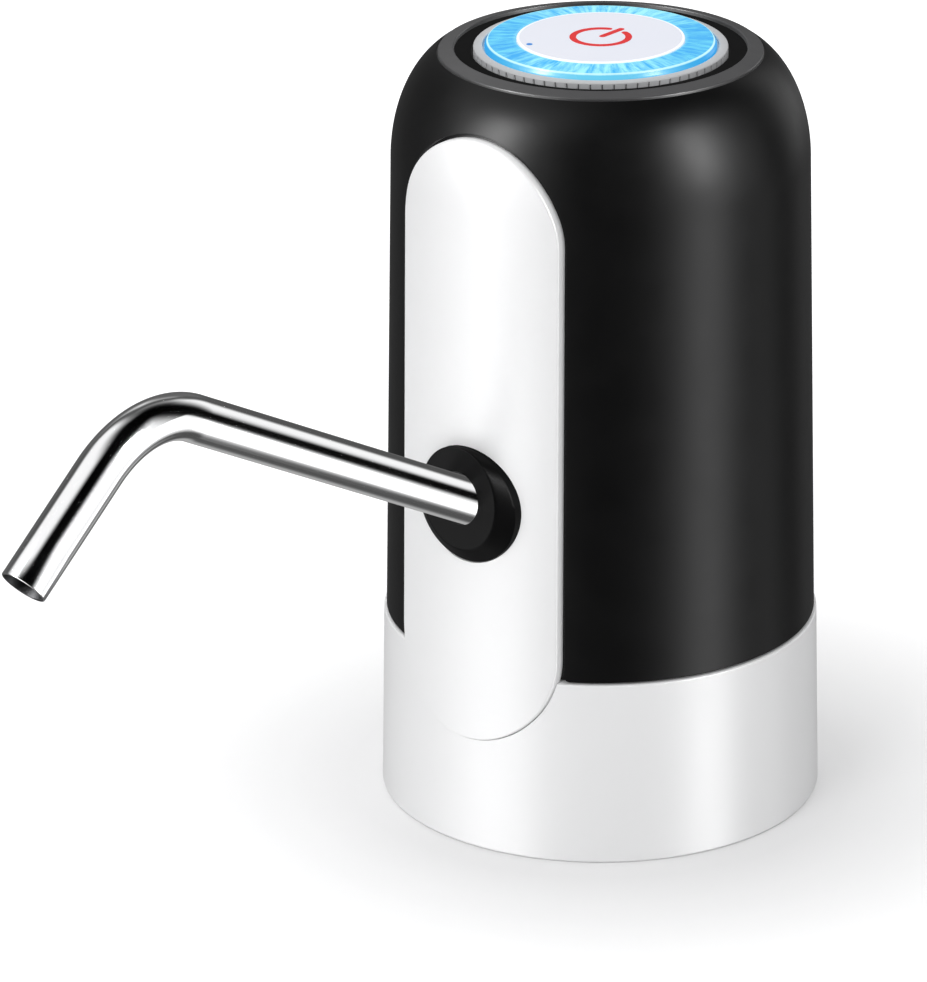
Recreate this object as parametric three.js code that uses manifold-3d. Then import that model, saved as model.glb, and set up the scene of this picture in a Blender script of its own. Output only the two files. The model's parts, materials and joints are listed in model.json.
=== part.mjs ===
// Rechargeable pump dispenser that stands on the neck of a large water bottle.
// Lengths are millimetres. Heights count up from the rim that the skirt stands on, and the
// whole group is lowered at the end, so its origin is on the stop face of the bottle neck.
// The spout points to the front, -Y.
import * as THREE from "three";
import { mergeVertices, toCreasedNormals } from "three/addons/utils/BufferGeometryUtils.js";
import Module from "manifold-3d";

// Sizes that many pieces share
const gap = 0.3; // clearance of a seat or a running fit
const overrun = 2; // how far a cutter passes what it cuts
const weldDistance = 0.0005; // corners closer than this are one corner
const creaseAngle = 0.6;
const facets = { body: 40, top: 30, hidden: 24, barrel: 20, tube: 16, fitting: 12, pin: 8, wire: 6 };
const degrees = Math.PI / 180;

// The outside form: a tapered body whose shoulder is a quarter ellipse cut short at the rim
const body = {
  roomRound: 11.3, // about the battery and the pump, side by side
  taper: 2.1, // how much smaller the radius is at the shoulder
  shoulderAboveSpout: 48.9,
  shoulderReach: 12, // half axis of the ellipse, across
  shoulderRise: 18.9, // half axis of the ellipse, up
  rimInset: 7.6, // of the rim within the shoulder's radius
  shoulderSteps: 6,
};

const skirt = {
  height: 31.1,
  wall: 2.4,
  deckThickness: 3,
  edgeChamfer: 0.4,
  ribCount: 8,
  ribThickness: 1.4,
  ribFoot: 4, // height of a rib's lower end
};

const neck = {
  depth: 24, // from the rim to the stop face
  wall: 1,
  room: 5.2, // between the collar and the skirt
  foot: 2, // height of the collar's lower end
  leadIn: 0.6,
  padRelief: 0.5, // the stop face stands this far below the deck round it
  finCount: 3,
  finReach: 1,
  finThickness: 0.8,
  finPitch: 5,
  firstFin: 6,
};

const cover = {
  inset: 0.4, // the cover lies this far inside the skirt's surface
  wall: 2.2,
  seam: 0.25,
  lipWall: 1.5,
  lipTop: 3.4, // the thick lip ends this far above the seam
  lipBlend: 1.5,
  seatDepth: 3.6, // from the top of the rim down to the bezel's seat
  rimEdge: 0.5, // width of the rim round the bezel's seat
  seatWidth: 1.3,
  mouthThickness: 1.8,
  cornerRadius: 1, // of its two lower corners beside the panel
};

const screw = {
  headRadius: 2,
  headHeight: 1.6,
  shankRadius: 1.1,
  length: 12,
  recessRadius: 1,
  recessDepth: 0.8,
  frontAngle: 55 * degrees, // from the front to either side
  backAngle: 31 * degrees, // from the back to either side
};

const boss = { radius: 2.8, height: 15, holeDepth: 12.2, bite: 0.8 }; // bite: how far it enters the lip

const panel = {
  halfWidth: 16,
  low: 19,
  high: 120.3,
  thickness: 1.7,
  proud: 0.5,
  pegRadius: 1.2,
  pegLength: 2.6,
  pegAcross: 10,
  pegInset: 22, // from the panel's ends to its pegs
};

const spout = {
  aboveSkirt: 29, // where its axis meets the body's surface
  rise: 27.4 * degrees,
  turned: 5.5 * degrees, // how far it is swivelled at rest
  bend: 69.2 * degrees,
  bendRadius: 15,
  bendSteps: 10,
  radius: 3.9,
  wall: 0.5,
  firstLeg: 88.6, // from the surface to where the legs' axes meet
  secondLeg: 33.5,
  insertion: 16.5,
};

const collar = {
  baseRadius: 9.7,
  baseDrop: 0.3,
  faceHalfWidth: 7.4,
  faceHalfHeight: 8.75,
  projection: 2.4,
  edgeBevel: 0.3,
  innerFace: 3.3, // from the body's surface to its back
};

const socket = {
  start: 8, // from the body's surface, along the spout's axis
  shoulder: 17.2,
  end: 24.5,
  barrelRadius: 6.6,
  tailRadius: 4.6,
  waterway: 2,
  waterwayEnd: 22.5,
  sealPlace: 11.5,
  nipplePlace: 20.2,
  nippleReach: 10, // from the axis
};

const seal = { section: 0.8, play: 0.15 };
const grommet = { wall: 0.7, flange: 0.4, depth: 4 };
const nipple = { radius: 2.5, bore: 1.5 };
const hose = { wall: 0.7, bendSteps: 6, roundShare: 0.55 };

const inlet = {
  barbRadius: 2.9,
  barbCount: 3,
  barbPitch: 3.4,
  barbLead: 1.2,
  drop: 12, // below the stop face
  flangeRadius: 5,
  flangeThickness: 1.5,
  rise: 7, // above the deck
  bore: 1.9,
};

const pump = {
  angle: 23.6 * degrees, // its direction from the body's axis
  standing: 17, // height of its head above the frame's plate
  radius: 12.5,
  headHeight: 6,
  outletRise: 2.8, // of the outlet above the head's lower face
  outletReach: 5.5, // of the outlet's nipple from the head
  inletX: -6, // from the pump's axis
  inletY: -1,
  inletDrop: 5,
  valvePlate: 2,
  diaphragm: 1.6,
  cupRadius: 3.1,
  cupHeight: 3,
  cupCircle: 6.4,
  cupCount: 3,
  portRadius: 1,
  housingHeight: 10.5,
  housingWall: 1.6,
  housingFloor: 2,
  housingTop: 1.5,
};

const wobble = { armWidth: 5, armReach: 9.2, thickness: 1.4, hubRadius: 4, lift: 4.6 };

const motor = {
  radius: 12.2,
  length: 27.7,
  edge: 1.2,
  pilotRadius: 3.2,
  shaftRadius: 1,
  shaftTail: 1.2,
  capRadius: 11.2,
  capHeight: 2.7,
  terminalWidth: 2.2,
  terminalThickness: 0.5,
  terminalHeight: 3,
  terminalOffset: 6.5,
  eccentricRadius: 4.2,
  eccentricHeight: 2,
  pinRadius: 0.8,
  pinOffset: 0.9,
};

const battery = {
  angle: 163 * degrees, // its direction from the body's axis
  wallRoom: 1.6, // between it and the cover's lip
  radius: 9.2,
  length: 65,
  grooveDepth: 0.5,
  grooveHeight: 1.2,
  grooveBelowTop: 3,
  terminalRadius: 2.9,
  terminalHeight: 0.9,
};

const frame = {
  plateInset: 4.2, // within the cover's lip
  plateThickness: 2,
  channelWall: 1.4,
  channelHeight: 58,
  channelOpening: 70 * degrees, // to either side of the outward direction
  cupWall: 1.5,
  cupTop: 9, // above the shelf
  cupOpening: 78 * degrees, // to either side of the front
  shelfThickness: 1.5,
  shelfReach: 2.5,
  postHalfWidth: 4,
  postFront: 27,
  postBack: 21,
  railThickness: 2.2,
  railGrip: 0.8,
  railLip: 0.8,
  railHeight: 32,
};

const board = {
  thickness: 1.6,
  halfWidth: 10.5,
  height: 45,
  chipDepth: 1.8,
  chipHalfWidth: 3.5,
  chipHeight: 7,
  chipRise: 24,
  coilRadius: 3.2,
  coilRise: 10,
};

const port = {
  height: 40,
  halfWidth: 3.8,
  halfHeight: 1.4,
  depth: 5.8,
  setback: 0.7, // of its mouth within the cover's wall
  wall: 0.35,
  cavityDepth: 4.6,
  slotHalfWidth: 4.8,
  slotHalfHeight: 2.5,
};

const chargeLight = { abovePort: 8.5, radius: 1.2, behindSurface: 0.6 };

// The round top: a bezel let into the cover carries the trim ring, the button and its board
const bezel = {
  floorThickness: 1.6,
  shelf: 4.2, // from the cover's mouth in to the sleeve's bore
  sleeveWall: 1.4,
  sleeveDepth: 6.8, // below the seat
  postRadius: 1.8,
  postRoom: 0.4, // between a post and the cover's mouth
  postCount: 3,
  screwLength: 6,
};

const trim = { width: 2.4, height: 2.2, innerRise: 0.6, chamfer: 0.4 };

const button = {
  rimWall: 1.5,
  rimRise: 3.35, // of its inner edge above the bezel
  rimFall: 0.7, // from the inner edge to the outer
  rimRound: 0.5,
  plateDrop: 0.55, // from the rim's inner edge down to the plate
  plateThickness: 1.2,
  catchReach: 1.1,
  catchHeight: 1,
  travel: 0.8,
  stemRadius: 2.4,
  stemLength: 6.6,
};

const lightRing = {
  width: 4.95,
  innerHeight: 1.6,
  edgeHeight: 1.4,
  edgeWidth: 0.45, // of the bevel round its outer edge
  outerHeight: 0.6,
};
const disc = { height: 1.9, edgeRound: 0.3 };

const ledBoard = { margin: 1.4, thickness: 1.6, drop: 9.3 }; // drop: from the bezel's seat
const led = { count: 6, length: 3.5, width: 2.8, height: 1.1 };
const tact = {
  size: 6,
  height: 3.5,
  plungerRadius: 1.7,
  plungerRise: 1.8,
  plungerHold: 0.6,
  travel: 0.55,
};
const spring = { radius: 5.2, wireRadius: 0.35, turns: 4.5, stepsPerTurn: 8, play: 0.15 };

// Places worked out from the sizes above
const contentsWalls = frame.channelWall + frame.cupWall + 2 * gap;
const baseRadius = battery.radius + pump.radius + contentsWalls + body.roomRound;
const spoutHeight = skirt.height + spout.aboveSkirt;
const shoulderHeight = spoutHeight + body.shoulderAboveSpout;
const shoulderRadius = baseRadius - body.taper;
const rimRadius = shoulderRadius - body.rimInset;
const boreRadius = baseRadius - skirt.wall - neck.room - neck.wall;
const spoutRadius = surfaceRadius(spoutHeight);
const coverLow = skirt.height + cover.seam;
const deckTop = neck.depth + skirt.deckThickness;
const plateTop = deckTop + frame.plateThickness;
const lipRadius = surfaceRadius(skirt.height) - skirt.wall - gap;
const lipInnerRadius = lipRadius - cover.lipWall;
const screwCircle = lipRadius - boss.radius + boss.bite;
const seatRadius = rimRadius - cover.rimEdge;
const mouthRadius = seatRadius - cover.seatWidth;
const sleeveRadius = mouthRadius - bezel.shelf;
const postCircle = mouthRadius - bezel.postRoom - bezel.postRadius;
const buttonRadius = sleeveRadius - gap;
const lightOuter = buttonRadius - button.rimWall - gap;
const lightInner = lightOuter - lightRing.width;
const ledCircle = (lightOuter + lightInner) / 2;
const coverTop = rimHeight();
const seatHeight = coverTop - cover.seatDepth;
const bezelTop = seatHeight + bezel.floorThickness;
const buttonTop = bezelTop + button.rimRise;
const buttonPlateTop = buttonTop - button.plateDrop;
const buttonPlateLow = buttonPlateTop - button.plateThickness;
const stemLow = buttonPlateLow - button.stemLength;
const boardLow = seatHeight - ledBoard.drop - ledBoard.thickness;
const boardTop = boardLow + ledBoard.thickness;
const outlet = alongSpoutAxis(-socket.nipplePlace);
const pumpReach = lipInnerRadius - frame.cupWall - 2 * gap - pump.radius;
const pumpX = pumpReach * Math.cos(pump.angle);
const pumpY = pumpReach * Math.sin(pump.angle);
const pumpEdge = pumpY - pump.radius; // its side towards the spout
const batteryReach = lipInnerRadius - battery.wallRoom - battery.radius;
const batteryX = batteryReach * Math.cos(battery.angle);
const batteryY = batteryReach * Math.sin(battery.angle);
const boardBack = surfaceRadius(port.height) - cover.inset - cover.wall - port.setback - port.depth;
const boardFront = boardBack - board.thickness;
const lightHeight = port.height + chargeLight.abovePort;
const headLow = plateTop + pump.standing;
const pumpOutlet = headLow + pump.outletRise;
const headTop = headLow + pump.headHeight;
const valveLow = headTop + gap;
const diaphragmLow = valveLow + pump.valvePlate + gap;
const diaphragmTop = diaphragmLow + pump.diaphragm;
const housingLow = diaphragmTop + gap;
const housingTop = housingLow + pump.housingHeight;
const motorLow = housingTop + gap;
const motorTop = motorLow + motor.length;
const shaftLow = housingLow + pump.housingFloor + wobble.lift;
const inletX = pumpX + pump.inletX;
const inletY = pumpY + pump.inletY;

const finishes = {
  black: finish(0x18181a, 0.55, 0),
  white: finish(0xf2f3f5, 0.35, 0),
  darkGrey: finish(0x5a5c5f, 0.4, 0.2),
  steel: finish(0xd8dade, 0.12, 1),
  zinc: finish(0xa9adb2, 0.35, 1),
  rubber: finish(0x222222, 0.8, 0),
  silicone: finish(0xdfe4e6, 0.6, 0),
  blueGlow: finish(0x5fc2f7, 0.25, 0),
  frosted: finish(0xcdd5da, 0.35, 0),
  discWhite: finish(0xecf2ff, 0.25, 0),
  boardGreen: finish(0x1f6b45, 0.5, 0),
  grey: finish(0x8b8f94, 0.5, 0),
  battery: finish(0x2f6fb5, 0.4, 0),
  natural: finish(0xe6e2d6, 0.5, 0),
};

// Booleans and basic solids
const wasm = await Module();
wasm.setup();

function finish(color, roughness, metalness) {
  return new THREE.MeshStandardMaterial({ color, roughness, metalness });
}

function solidFrom(geometry) {
  const bare = geometry.index ? geometry.clone() : geometry;
  const onlyPlaces = new THREE.BufferGeometry().setIndex(bare.index);
  onlyPlaces.setAttribute("position", bare.getAttribute("position"));
  const merged = mergeVertices(onlyPlaces, weldDistance);
  const corners = merged.index.array;
  const kept = [];
  for (let i = 0; i < corners.length; i += 3) {
    const [a, b, c] = [corners[i], corners[i + 1], corners[i + 2]];
    if (a !== b && b !== c && c !== a) kept.push(a, b, c);
  }
  const vertProperties = merged.attributes.position.array;
  const build = (triVerts) =>
    new wasm.Manifold(new wasm.Mesh({ numProp: 3, vertProperties, triVerts }));
  const made = build(Uint32Array.from(kept));
  return made.volume() < 0 ? build(Uint32Array.from(kept.reverse())) : made;
}

function geometryFrom(solid) {
  const { vertProperties, triVerts } = solid.getMesh();
  const geometry = new THREE.BufferGeometry();
  geometry.setAttribute("position", new THREE.BufferAttribute(vertProperties, 3));
  return geometry.setIndex(new THREE.BufferAttribute(triVerts, 1));
}

function combine(operation, first, others) {
  return geometryFrom(
    others.flat().reduce((whole, next) => whole[operation](solidFrom(next)), solidFrom(first)),
  );
}

const join = (first, ...others) => combine("add", first, others);
const cut = (first, ...others) => combine("subtract", first, others);
const common = (first, ...others) => combine("intersect", first, others);

function revolve(profile, segments) {
  const points = profile.map(([radius, height]) => new THREE.Vector2(radius, height));
  return new THREE.LatheGeometry(points, segments).rotateX(Math.PI / 2);
}

function rod(radius, low, high, segments) {
  return revolve([[0, low], [radius, low], [radius, high], [0, high]], segments);
}

function sleeve(outer, inner, low, high, segments) {
  return revolve([[inner, low], [outer, low], [outer, high], [inner, high], [inner, low]], segments);
}

function block(xs, ys, zs) {
  const size = [xs, ys, zs].map(([from, to]) => to - from);
  const middle = [xs, ys, zs].map(([from, to]) => (from + to) / 2);
  return new THREE.BoxGeometry(...size).translate(...middle);
}

function upright(shape, low, high, curveSegments) {
  const options = { depth: high - low, bevelEnabled: false, curveSegments: curveSegments / 2 };
  return new THREE.ExtrudeGeometry(shape, options).translate(0, 0, low);
}

// Turns what stands along +Z so that it runs forwards, its X and its old Y keeping across and up.
const facingFront = (geometry) => geometry.rotateX(Math.PI / 2);

function sector(outer, inner, from, to) {
  const shape = new THREE.Shape();
  shape.absarc(0, 0, outer, from, to, false);
  shape.absarc(0, 0, inner, to, from, true);
  return shape;
}

function slot(halfWidth, halfHeight) {
  const straight = halfWidth - halfHeight;
  const shape = new THREE.Shape();
  shape.absarc(straight, 0, halfHeight, -Math.PI / 2, Math.PI / 2, false);
  shape.absarc(-straight, 0, halfHeight, Math.PI / 2, Math.PI * 1.5, false);
  return shape;
}

// A path through chosen stations, with the direction at each, for a tube that is swept along it.
class Route extends THREE.Curve {
  constructor(stations) {
    super();
    this.stations = stations;
  }
  at(share) {
    return this.stations[Math.round(share * (this.stations.length - 1))];
  }
  getPoint(share) {
    return this.at(share).place.clone();
  }
  getPointAt(share) {
    return this.getPoint(share);
  }
  getTangentAt(share) {
    return this.at(share).heading.clone();
  }
}

function swept(stations, radius, segments) {
  const shape = new THREE.Shape().absarc(0, 0, radius, 0, Math.PI * 2, false);
  const steps = stations.length - 1;
  const options = { steps, extrudePath: new Route(stations), curveSegments: segments / 2 };
  return new THREE.ExtrudeGeometry(shape, options);
}

// Stations of a line, a bend of the given angle and a second line. The bend turns from the
// first heading towards the given side.
function bentStations(start, heading, side, firstLength, radius, angle, steps, secondLength) {
  const point = (from, direction, distance) => from.clone().addScaledVector(direction, distance);
  const bendStart = point(start, heading, firstLength);
  const centre = point(bendStart, side, radius);
  const stations = [{ place: start, heading }];
  for (let i = 0; i <= steps; i++) {
    const turn = (angle * i) / steps;
    const out = side.clone().multiplyScalar(-Math.cos(turn)).addScaledVector(heading, Math.sin(turn));
    const along = heading.clone().multiplyScalar(Math.cos(turn)).addScaledVector(side, Math.sin(turn));
    stations.push({ place: point(centre, out, radius), heading: along });
  }
  const last = stations[stations.length - 1];
  stations.push({ place: point(last.place, last.heading, secondLength), heading: last.heading });
  return stations;
}

function piece(name, geometry, material) {
  const mesh = new THREE.Mesh(toCreasedNormals(geometry, creaseAngle), material);
  mesh.name = name;
  return mesh;
}

// The outside form
function surfaceRadius(height) {
  const share = Math.min(height, shoulderHeight) / shoulderHeight;
  return baseRadius - body.taper * share;
}

function rimHeight() {
  const across = (rimRadius - shoulderRadius + body.shoulderReach) / body.shoulderReach;
  return shoulderHeight + body.shoulderRise * Math.sqrt(1 - across * across);
}

// The body's outline from one height up to the rim, moved outwards by a distance.
function outline(outwards, low, steps = body.shoulderSteps) {
  const centreRadius = shoulderRadius - body.shoulderReach;
  const last = Math.acos((rimRadius - centreRadius) / body.shoulderReach);
  const points = [[surfaceRadius(low) + outwards, low]];
  for (let i = 0; i <= steps; i++) {
    const angle = (last * i) / steps;
    const across = Math.cos(angle);
    const up = Math.sin(angle);
    const normal = new THREE.Vector2(across / body.shoulderReach, up / body.shoulderRise);
    const offset = normal.normalize().multiplyScalar(outwards);
    points.push([
      centreRadius + body.shoulderReach * across + offset.x,
      shoulderHeight + body.shoulderRise * up + offset.y,
    ]);
  }
  return points;
}

// Everything inside the outline moved outwards, as a solid core.
function core(outwards, low) {
  const points = outline(outwards, low);
  const top = points[points.length - 1][1];
  return revolve([[0, low], ...points, [0, top]], facets.body);
}

// The spout's own axis: its surface point, and places at a distance outwards along it
function alongSpoutAxis(distance) {
  return new THREE.Vector3(
    0,
    -spoutRadius - distance * Math.cos(spout.rise),
    spoutHeight + distance * Math.sin(spout.rise),
  );
}

function onSpoutAxis(geometry) {
  return geometry.rotateX(Math.PI / 2 - spout.rise).translate(0, -spoutRadius, spoutHeight);
}

// Skirt, neck collar and the water inlet
function screwPlaces() {
  const angles = [-screw.frontAngle, screw.frontAngle].map((angle) => angle - Math.PI / 2);
  angles.push(Math.PI / 2 - screw.backAngle, Math.PI / 2 + screw.backAngle);
  return angles.map((angle) => [
    screwCircle * Math.cos(angle),
    screwCircle * Math.sin(angle),
  ]);
}

function skirtShell() {
  const inner = (height) => surfaceRadius(height) - skirt.wall;
  const recess = neck.depth + neck.padRelief;
  const padRadius = boreRadius - neck.wall / 2;
  return revolve(
    [
      [0, neck.depth],
      [padRadius, neck.depth],
      [padRadius, recess],
      [inner(recess), recess],
      [inner(0), 0],
      [baseRadius - skirt.edgeChamfer, 0],
      [surfaceRadius(skirt.edgeChamfer), skirt.edgeChamfer],
      [surfaceRadius(skirt.height), skirt.height],
      [inner(skirt.height), skirt.height],
      [inner(deckTop), deckTop],
      [0, deckTop],
    ],
    facets.body,
  );
}

function skirtRibs() {
  const inner = boreRadius + neck.wall + gap;
  const outer = surfaceRadius(neck.depth) - skirt.wall / 2;
  const half = skirt.ribThickness / 2;
  return Array.from({ length: skirt.ribCount }, (_, i) => {
    const turn = ((i + 0.5) * Math.PI * 2) / skirt.ribCount;
    const top = neck.depth + skirt.deckThickness / 2;
    return block([inner, outer], [-half, half], [skirt.ribFoot, top]).rotateZ(turn);
  });
}

function baseSkirt() {
  const through = [neck.depth - overrun, deckTop + overrun];
  const screwHoles = screwPlaces().map(([x, y]) =>
    rod(screw.shankRadius + gap, ...through, facets.pin).translate(x, y, 0),
  );
  const inletHole = rod(nipple.radius + 2 * gap, ...through, facets.tube).translate(inletX, inletY, 0);
  const whole = join(skirtShell(), skirtRibs());
  return piece("base_skirt", cut(whole, panelPocket(), inletHole, screwHoles), finishes.white);
}

// A ring with fins on its inside that grip the neck.
function neckCollar() {
  const outer = boreRadius + neck.wall;
  const top = neck.depth + neck.padRelief - gap;
  const profile = [
    [boreRadius + neck.leadIn, neck.foot],
    [outer, neck.foot],
    [outer, top],
    [boreRadius, top],
  ];
  for (let i = neck.finCount - 1; i >= 0; i--) {
    const low = neck.firstFin + i * neck.finPitch;
    const tip = boreRadius - neck.finReach;
    profile.push([boreRadius, low + neck.finThickness * 2]);
    profile.push([tip, low + neck.finThickness], [tip, low], [boreRadius, low]);
  }
  profile.push([boreRadius, neck.foot + neck.leadIn], profile[0]);
  return piece("neck_collar", revolve(profile, facets.hidden), finishes.silicone);
}

// The hose nipple under the deck, with barbs, its flange on the deck and a plain end above.
function inletNipple() {
  const low = neck.depth - inlet.drop;
  const profile = [[inlet.bore, low], [nipple.radius, low]];
  for (let i = 0; i < inlet.barbCount; i++) {
    const foot = low + i * inlet.barbPitch;
    profile.push([inlet.barbRadius, foot + inlet.barbLead], [nipple.radius, foot + inlet.barbLead]);
    profile.push([nipple.radius, foot + inlet.barbPitch]);
  }
  profile.push(
    [nipple.radius, deckTop],
    [inlet.flangeRadius, deckTop],
    [inlet.flangeRadius, deckTop + inlet.flangeThickness],
    [nipple.radius, deckTop + inlet.flangeThickness],
    [nipple.radius, deckTop + inlet.rise],
    [inlet.bore, deckTop + inlet.rise],
    [inlet.bore, low],
  );
  const geometry = revolve(profile, facets.fitting).translate(inletX, inletY, 0);
  return piece("inlet_nipple", geometry, finishes.natural);
}

// A screw driven upwards, its head below the given seat.
function screwGeometry(seat, length) {
  const headLow = seat - screw.headHeight;
  const recessTop = headLow + screw.recessDepth;
  return revolve(
    [
      [0, recessTop],
      [screw.recessRadius, recessTop],
      [screw.recessRadius, headLow],
      [screw.headRadius, headLow],
      [screw.headRadius, seat],
      [screw.shankRadius, seat],
      [screw.shankRadius, seat + length],
      [0, seat + length],
    ],
    facets.pin,
  );
}

function deckScrews() {
  return screwPlaces().map(([x, y], i) => {
    const mesh = piece(
      "deck_screw_" + (i + 1),
      screwGeometry(neck.depth + neck.padRelief, screw.length),
      finishes.zinc,
    );
    mesh.position.set(x, y, 0);
    return mesh;
  });
}

// Panel and the pocket that holds it
function stadium(halfWidth, low, high) {
  const shape = new THREE.Shape();
  shape.absarc(0, high - halfWidth, halfWidth, 0, Math.PI, false);
  shape.absarc(0, low + halfWidth, halfWidth, Math.PI, Math.PI * 2, false);
  return shape;
}

function panelPrism(grow) {
  const shape = stadium(panel.halfWidth + grow, panel.low - grow, panel.high + grow);
  return facingFront(upright(shape, 0, baseRadius + overrun, facets.tube));
}

function pocketFloor() {
  return panel.proud - panel.thickness - gap;
}

function panelPocket() {
  return cut(panelPrism(gap), core(pocketFloor(), -overrun));
}

function panelPegs(radius, length) {
  const back = surfaceRadius(panel.high) + panel.proud - panel.thickness;
  const heights = [panel.low + panel.pegInset, panel.high - panel.pegInset];
  const pegs = heights.flatMap((height) =>
    [-panel.pegAcross, panel.pegAcross].map((x) =>
      facingFront(rod(radius, back - panel.pegAcross / 2 - length, back, facets.pin)).translate(
        x,
        0,
        height,
      ),
    ),
  );
  return pegs;
}

function frontPanel() {
  const skin = cut(
    common(panelPrism(0), core(panel.proud, 0)),
    core(panel.proud - panel.thickness, -overrun),
  );
  const pegEnds = cut(
    join(...panelPegs(panel.pegRadius, 0)),
    core(panel.proud - panel.thickness - panel.pegLength, -overrun),
  );
  const inside = common(pegEnds, core(panel.proud - panel.thickness / 2, 0));
  const hole = collarBarrel(collar.baseRadius + gap);
  return piece("front_panel", cut(join(skin, inside), hole), finishes.white);
}

function collarBarrel(radius) {
  const barrel = facingFront(rod(radius, 0, baseRadius + overrun, facets.barrel));
  return barrel.translate(0, 0, spoutHeight - collar.baseDrop);
}

// Cover
function coverOutside() {
  const profile = [
    [0, deckTop + gap],
    [lipRadius, deckTop + gap],
    [lipRadius, coverLow],
    ...outline(-cover.inset, coverLow),
  ];
  profile.push([0, profile[profile.length - 1][1]]);
  return revolve(profile, facets.body);
}

function coverInside() {
  const lipTop = coverLow + cover.lipTop;
  const mouthLow = seatHeight - cover.mouthThickness;
  const wall = outline(-cover.inset - cover.wall, lipTop + cover.lipBlend, body.shoulderSteps / 2);
  const below = wall.filter(([, height]) => height < mouthLow);
  return revolve(
    [
      [0, deckTop - overrun],
      [lipInnerRadius, deckTop - overrun],
      [lipInnerRadius, lipTop],
      ...below,
      [below[below.length - 1][0], mouthLow],
      [mouthRadius, mouthLow],
      [mouthRadius, seatHeight],
      [seatRadius, seatHeight],
      [seatRadius, coverTop + overrun],
      [0, coverTop + overrun],
    ],
    facets.body,
  );
}

function coverBosses() {
  const low = deckTop + gap;
  const posts = screwPlaces().map(([x, y]) =>
    rod(boss.radius, low, low + boss.height, facets.pin).translate(x, y, 0),
  );
  return common(join(...posts), coverOutside());
}

// The rounded lower corners of the cover beside the panel, as one cutter.
function coverCorners() {
  const edge = panel.halfWidth + gap;
  const reach = edge + cover.cornerRadius;
  const shape = new THREE.Shape();
  shape.moveTo(-reach, coverLow - overrun);
  shape.lineTo(reach, coverLow - overrun);
  shape.lineTo(reach, coverLow);
  shape.absarc(reach, coverLow + cover.cornerRadius, cover.cornerRadius, -Math.PI / 2, -Math.PI, true);
  shape.lineTo(-edge, coverLow + cover.cornerRadius);
  shape.absarc(-reach, coverLow + cover.cornerRadius, cover.cornerRadius, 0, -Math.PI / 2, true);
  const prism = facingFront(upright(shape, 0, baseRadius + overrun, facets.wire));
  return cut(prism, core(pocketFloor(), -overrun));
}

function backHoles() {
  const reach = baseRadius + overrun;
  const slotShape = slot(port.slotHalfWidth, port.slotHalfHeight);
  const slotHole = facingFront(upright(slotShape, 0, reach, facets.wire));
  const lightHole = facingFront(rod(chargeLight.radius + gap, 0, reach, facets.pin));
  const turned = [
    slotHole.translate(0, 0, port.height),
    lightHole.translate(0, 0, lightHeight),
  ];
  return turned.map((geometry) => geometry.rotateZ(Math.PI));
}

function outerCover() {
  const holes = screwPlaces().map(([x, y]) =>
    rod(screw.shankRadius + gap, deckTop, deckTop + boss.holeDepth, facets.pin).translate(x, y, 0),
  );
  const whole = join(cut(coverOutside(), coverInside()), coverBosses());
  const pegHoles = common(
    join(...panelPegs(panel.pegRadius + gap, overrun)),
    core(0, 0),
  );
  return piece(
    "outer_cover",
    cut(
      whole,
      panelPocket(),
      coverCorners(),
      collarBarrel(collar.baseRadius + gap),
      pegHoles,
      backHoles(),
      holes,
    ),
    finishes.black,
  );
}

// Spout: the black collar, the socket behind it, its seals and the bent pipe
function loft(rings) {
  const count = rings[0].length;
  const places = rings.flat();
  const triangles = [];
  for (let i = 0; i < rings.length - 1; i++) {
    for (let j = 0; j < count; j++) {
      const next = (j + 1) % count;
      const [a, b] = [i * count + j, i * count + next];
      const [c, d] = [b + count, a + count];
      triangles.push(a, b, c, a, c, d);
    }
  }
  const lastRing = (rings.length - 1) * count;
  for (let j = 1; j < count - 1; j++) {
    triangles.push(0, j + 1, j, lastRing, lastRing + j, lastRing + j + 1);
  }
  return new THREE.BufferGeometry().setFromPoints(places).setIndex(triangles);
}

function uprightRing(halfWidth, halfHeight, y, z) {
  return Array.from({ length: facets.barrel }, (_, i) => {
    const angle = (i * Math.PI * 2) / facets.barrel;
    return new THREE.Vector3(halfWidth * Math.cos(angle), y, z + halfHeight * Math.sin(angle));
  });
}

// The collar's face leans up with the spout, so its sides are steeper above than below.
function spoutCollar() {
  const front = -spoutRadius - panel.proud;
  const centre = spoutHeight - collar.baseDrop;
  const faceRise = (panel.proud + collar.projection) * Math.tan(spout.rise);
  const { faceHalfWidth, faceHalfHeight, edgeBevel, baseRadius } = collar;
  const rings = [
    uprightRing(baseRadius, baseRadius, collar.innerFace - spoutRadius, centre),
    uprightRing(baseRadius, baseRadius, front, centre),
    uprightRing(
      faceHalfWidth + edgeBevel,
      faceHalfHeight + edgeBevel,
      front - collar.projection + edgeBevel,
      spoutHeight + faceRise - edgeBevel,
    ),
    uprightRing(faceHalfWidth, faceHalfHeight, front - collar.projection, spoutHeight + faceRise),
  ];
  const bore = onSpoutAxis(rod(spout.radius + gap, -socket.start, socket.start, facets.tube));
  return piece("spout_collar", cut(loft(rings), bore), finishes.black);
}

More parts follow.
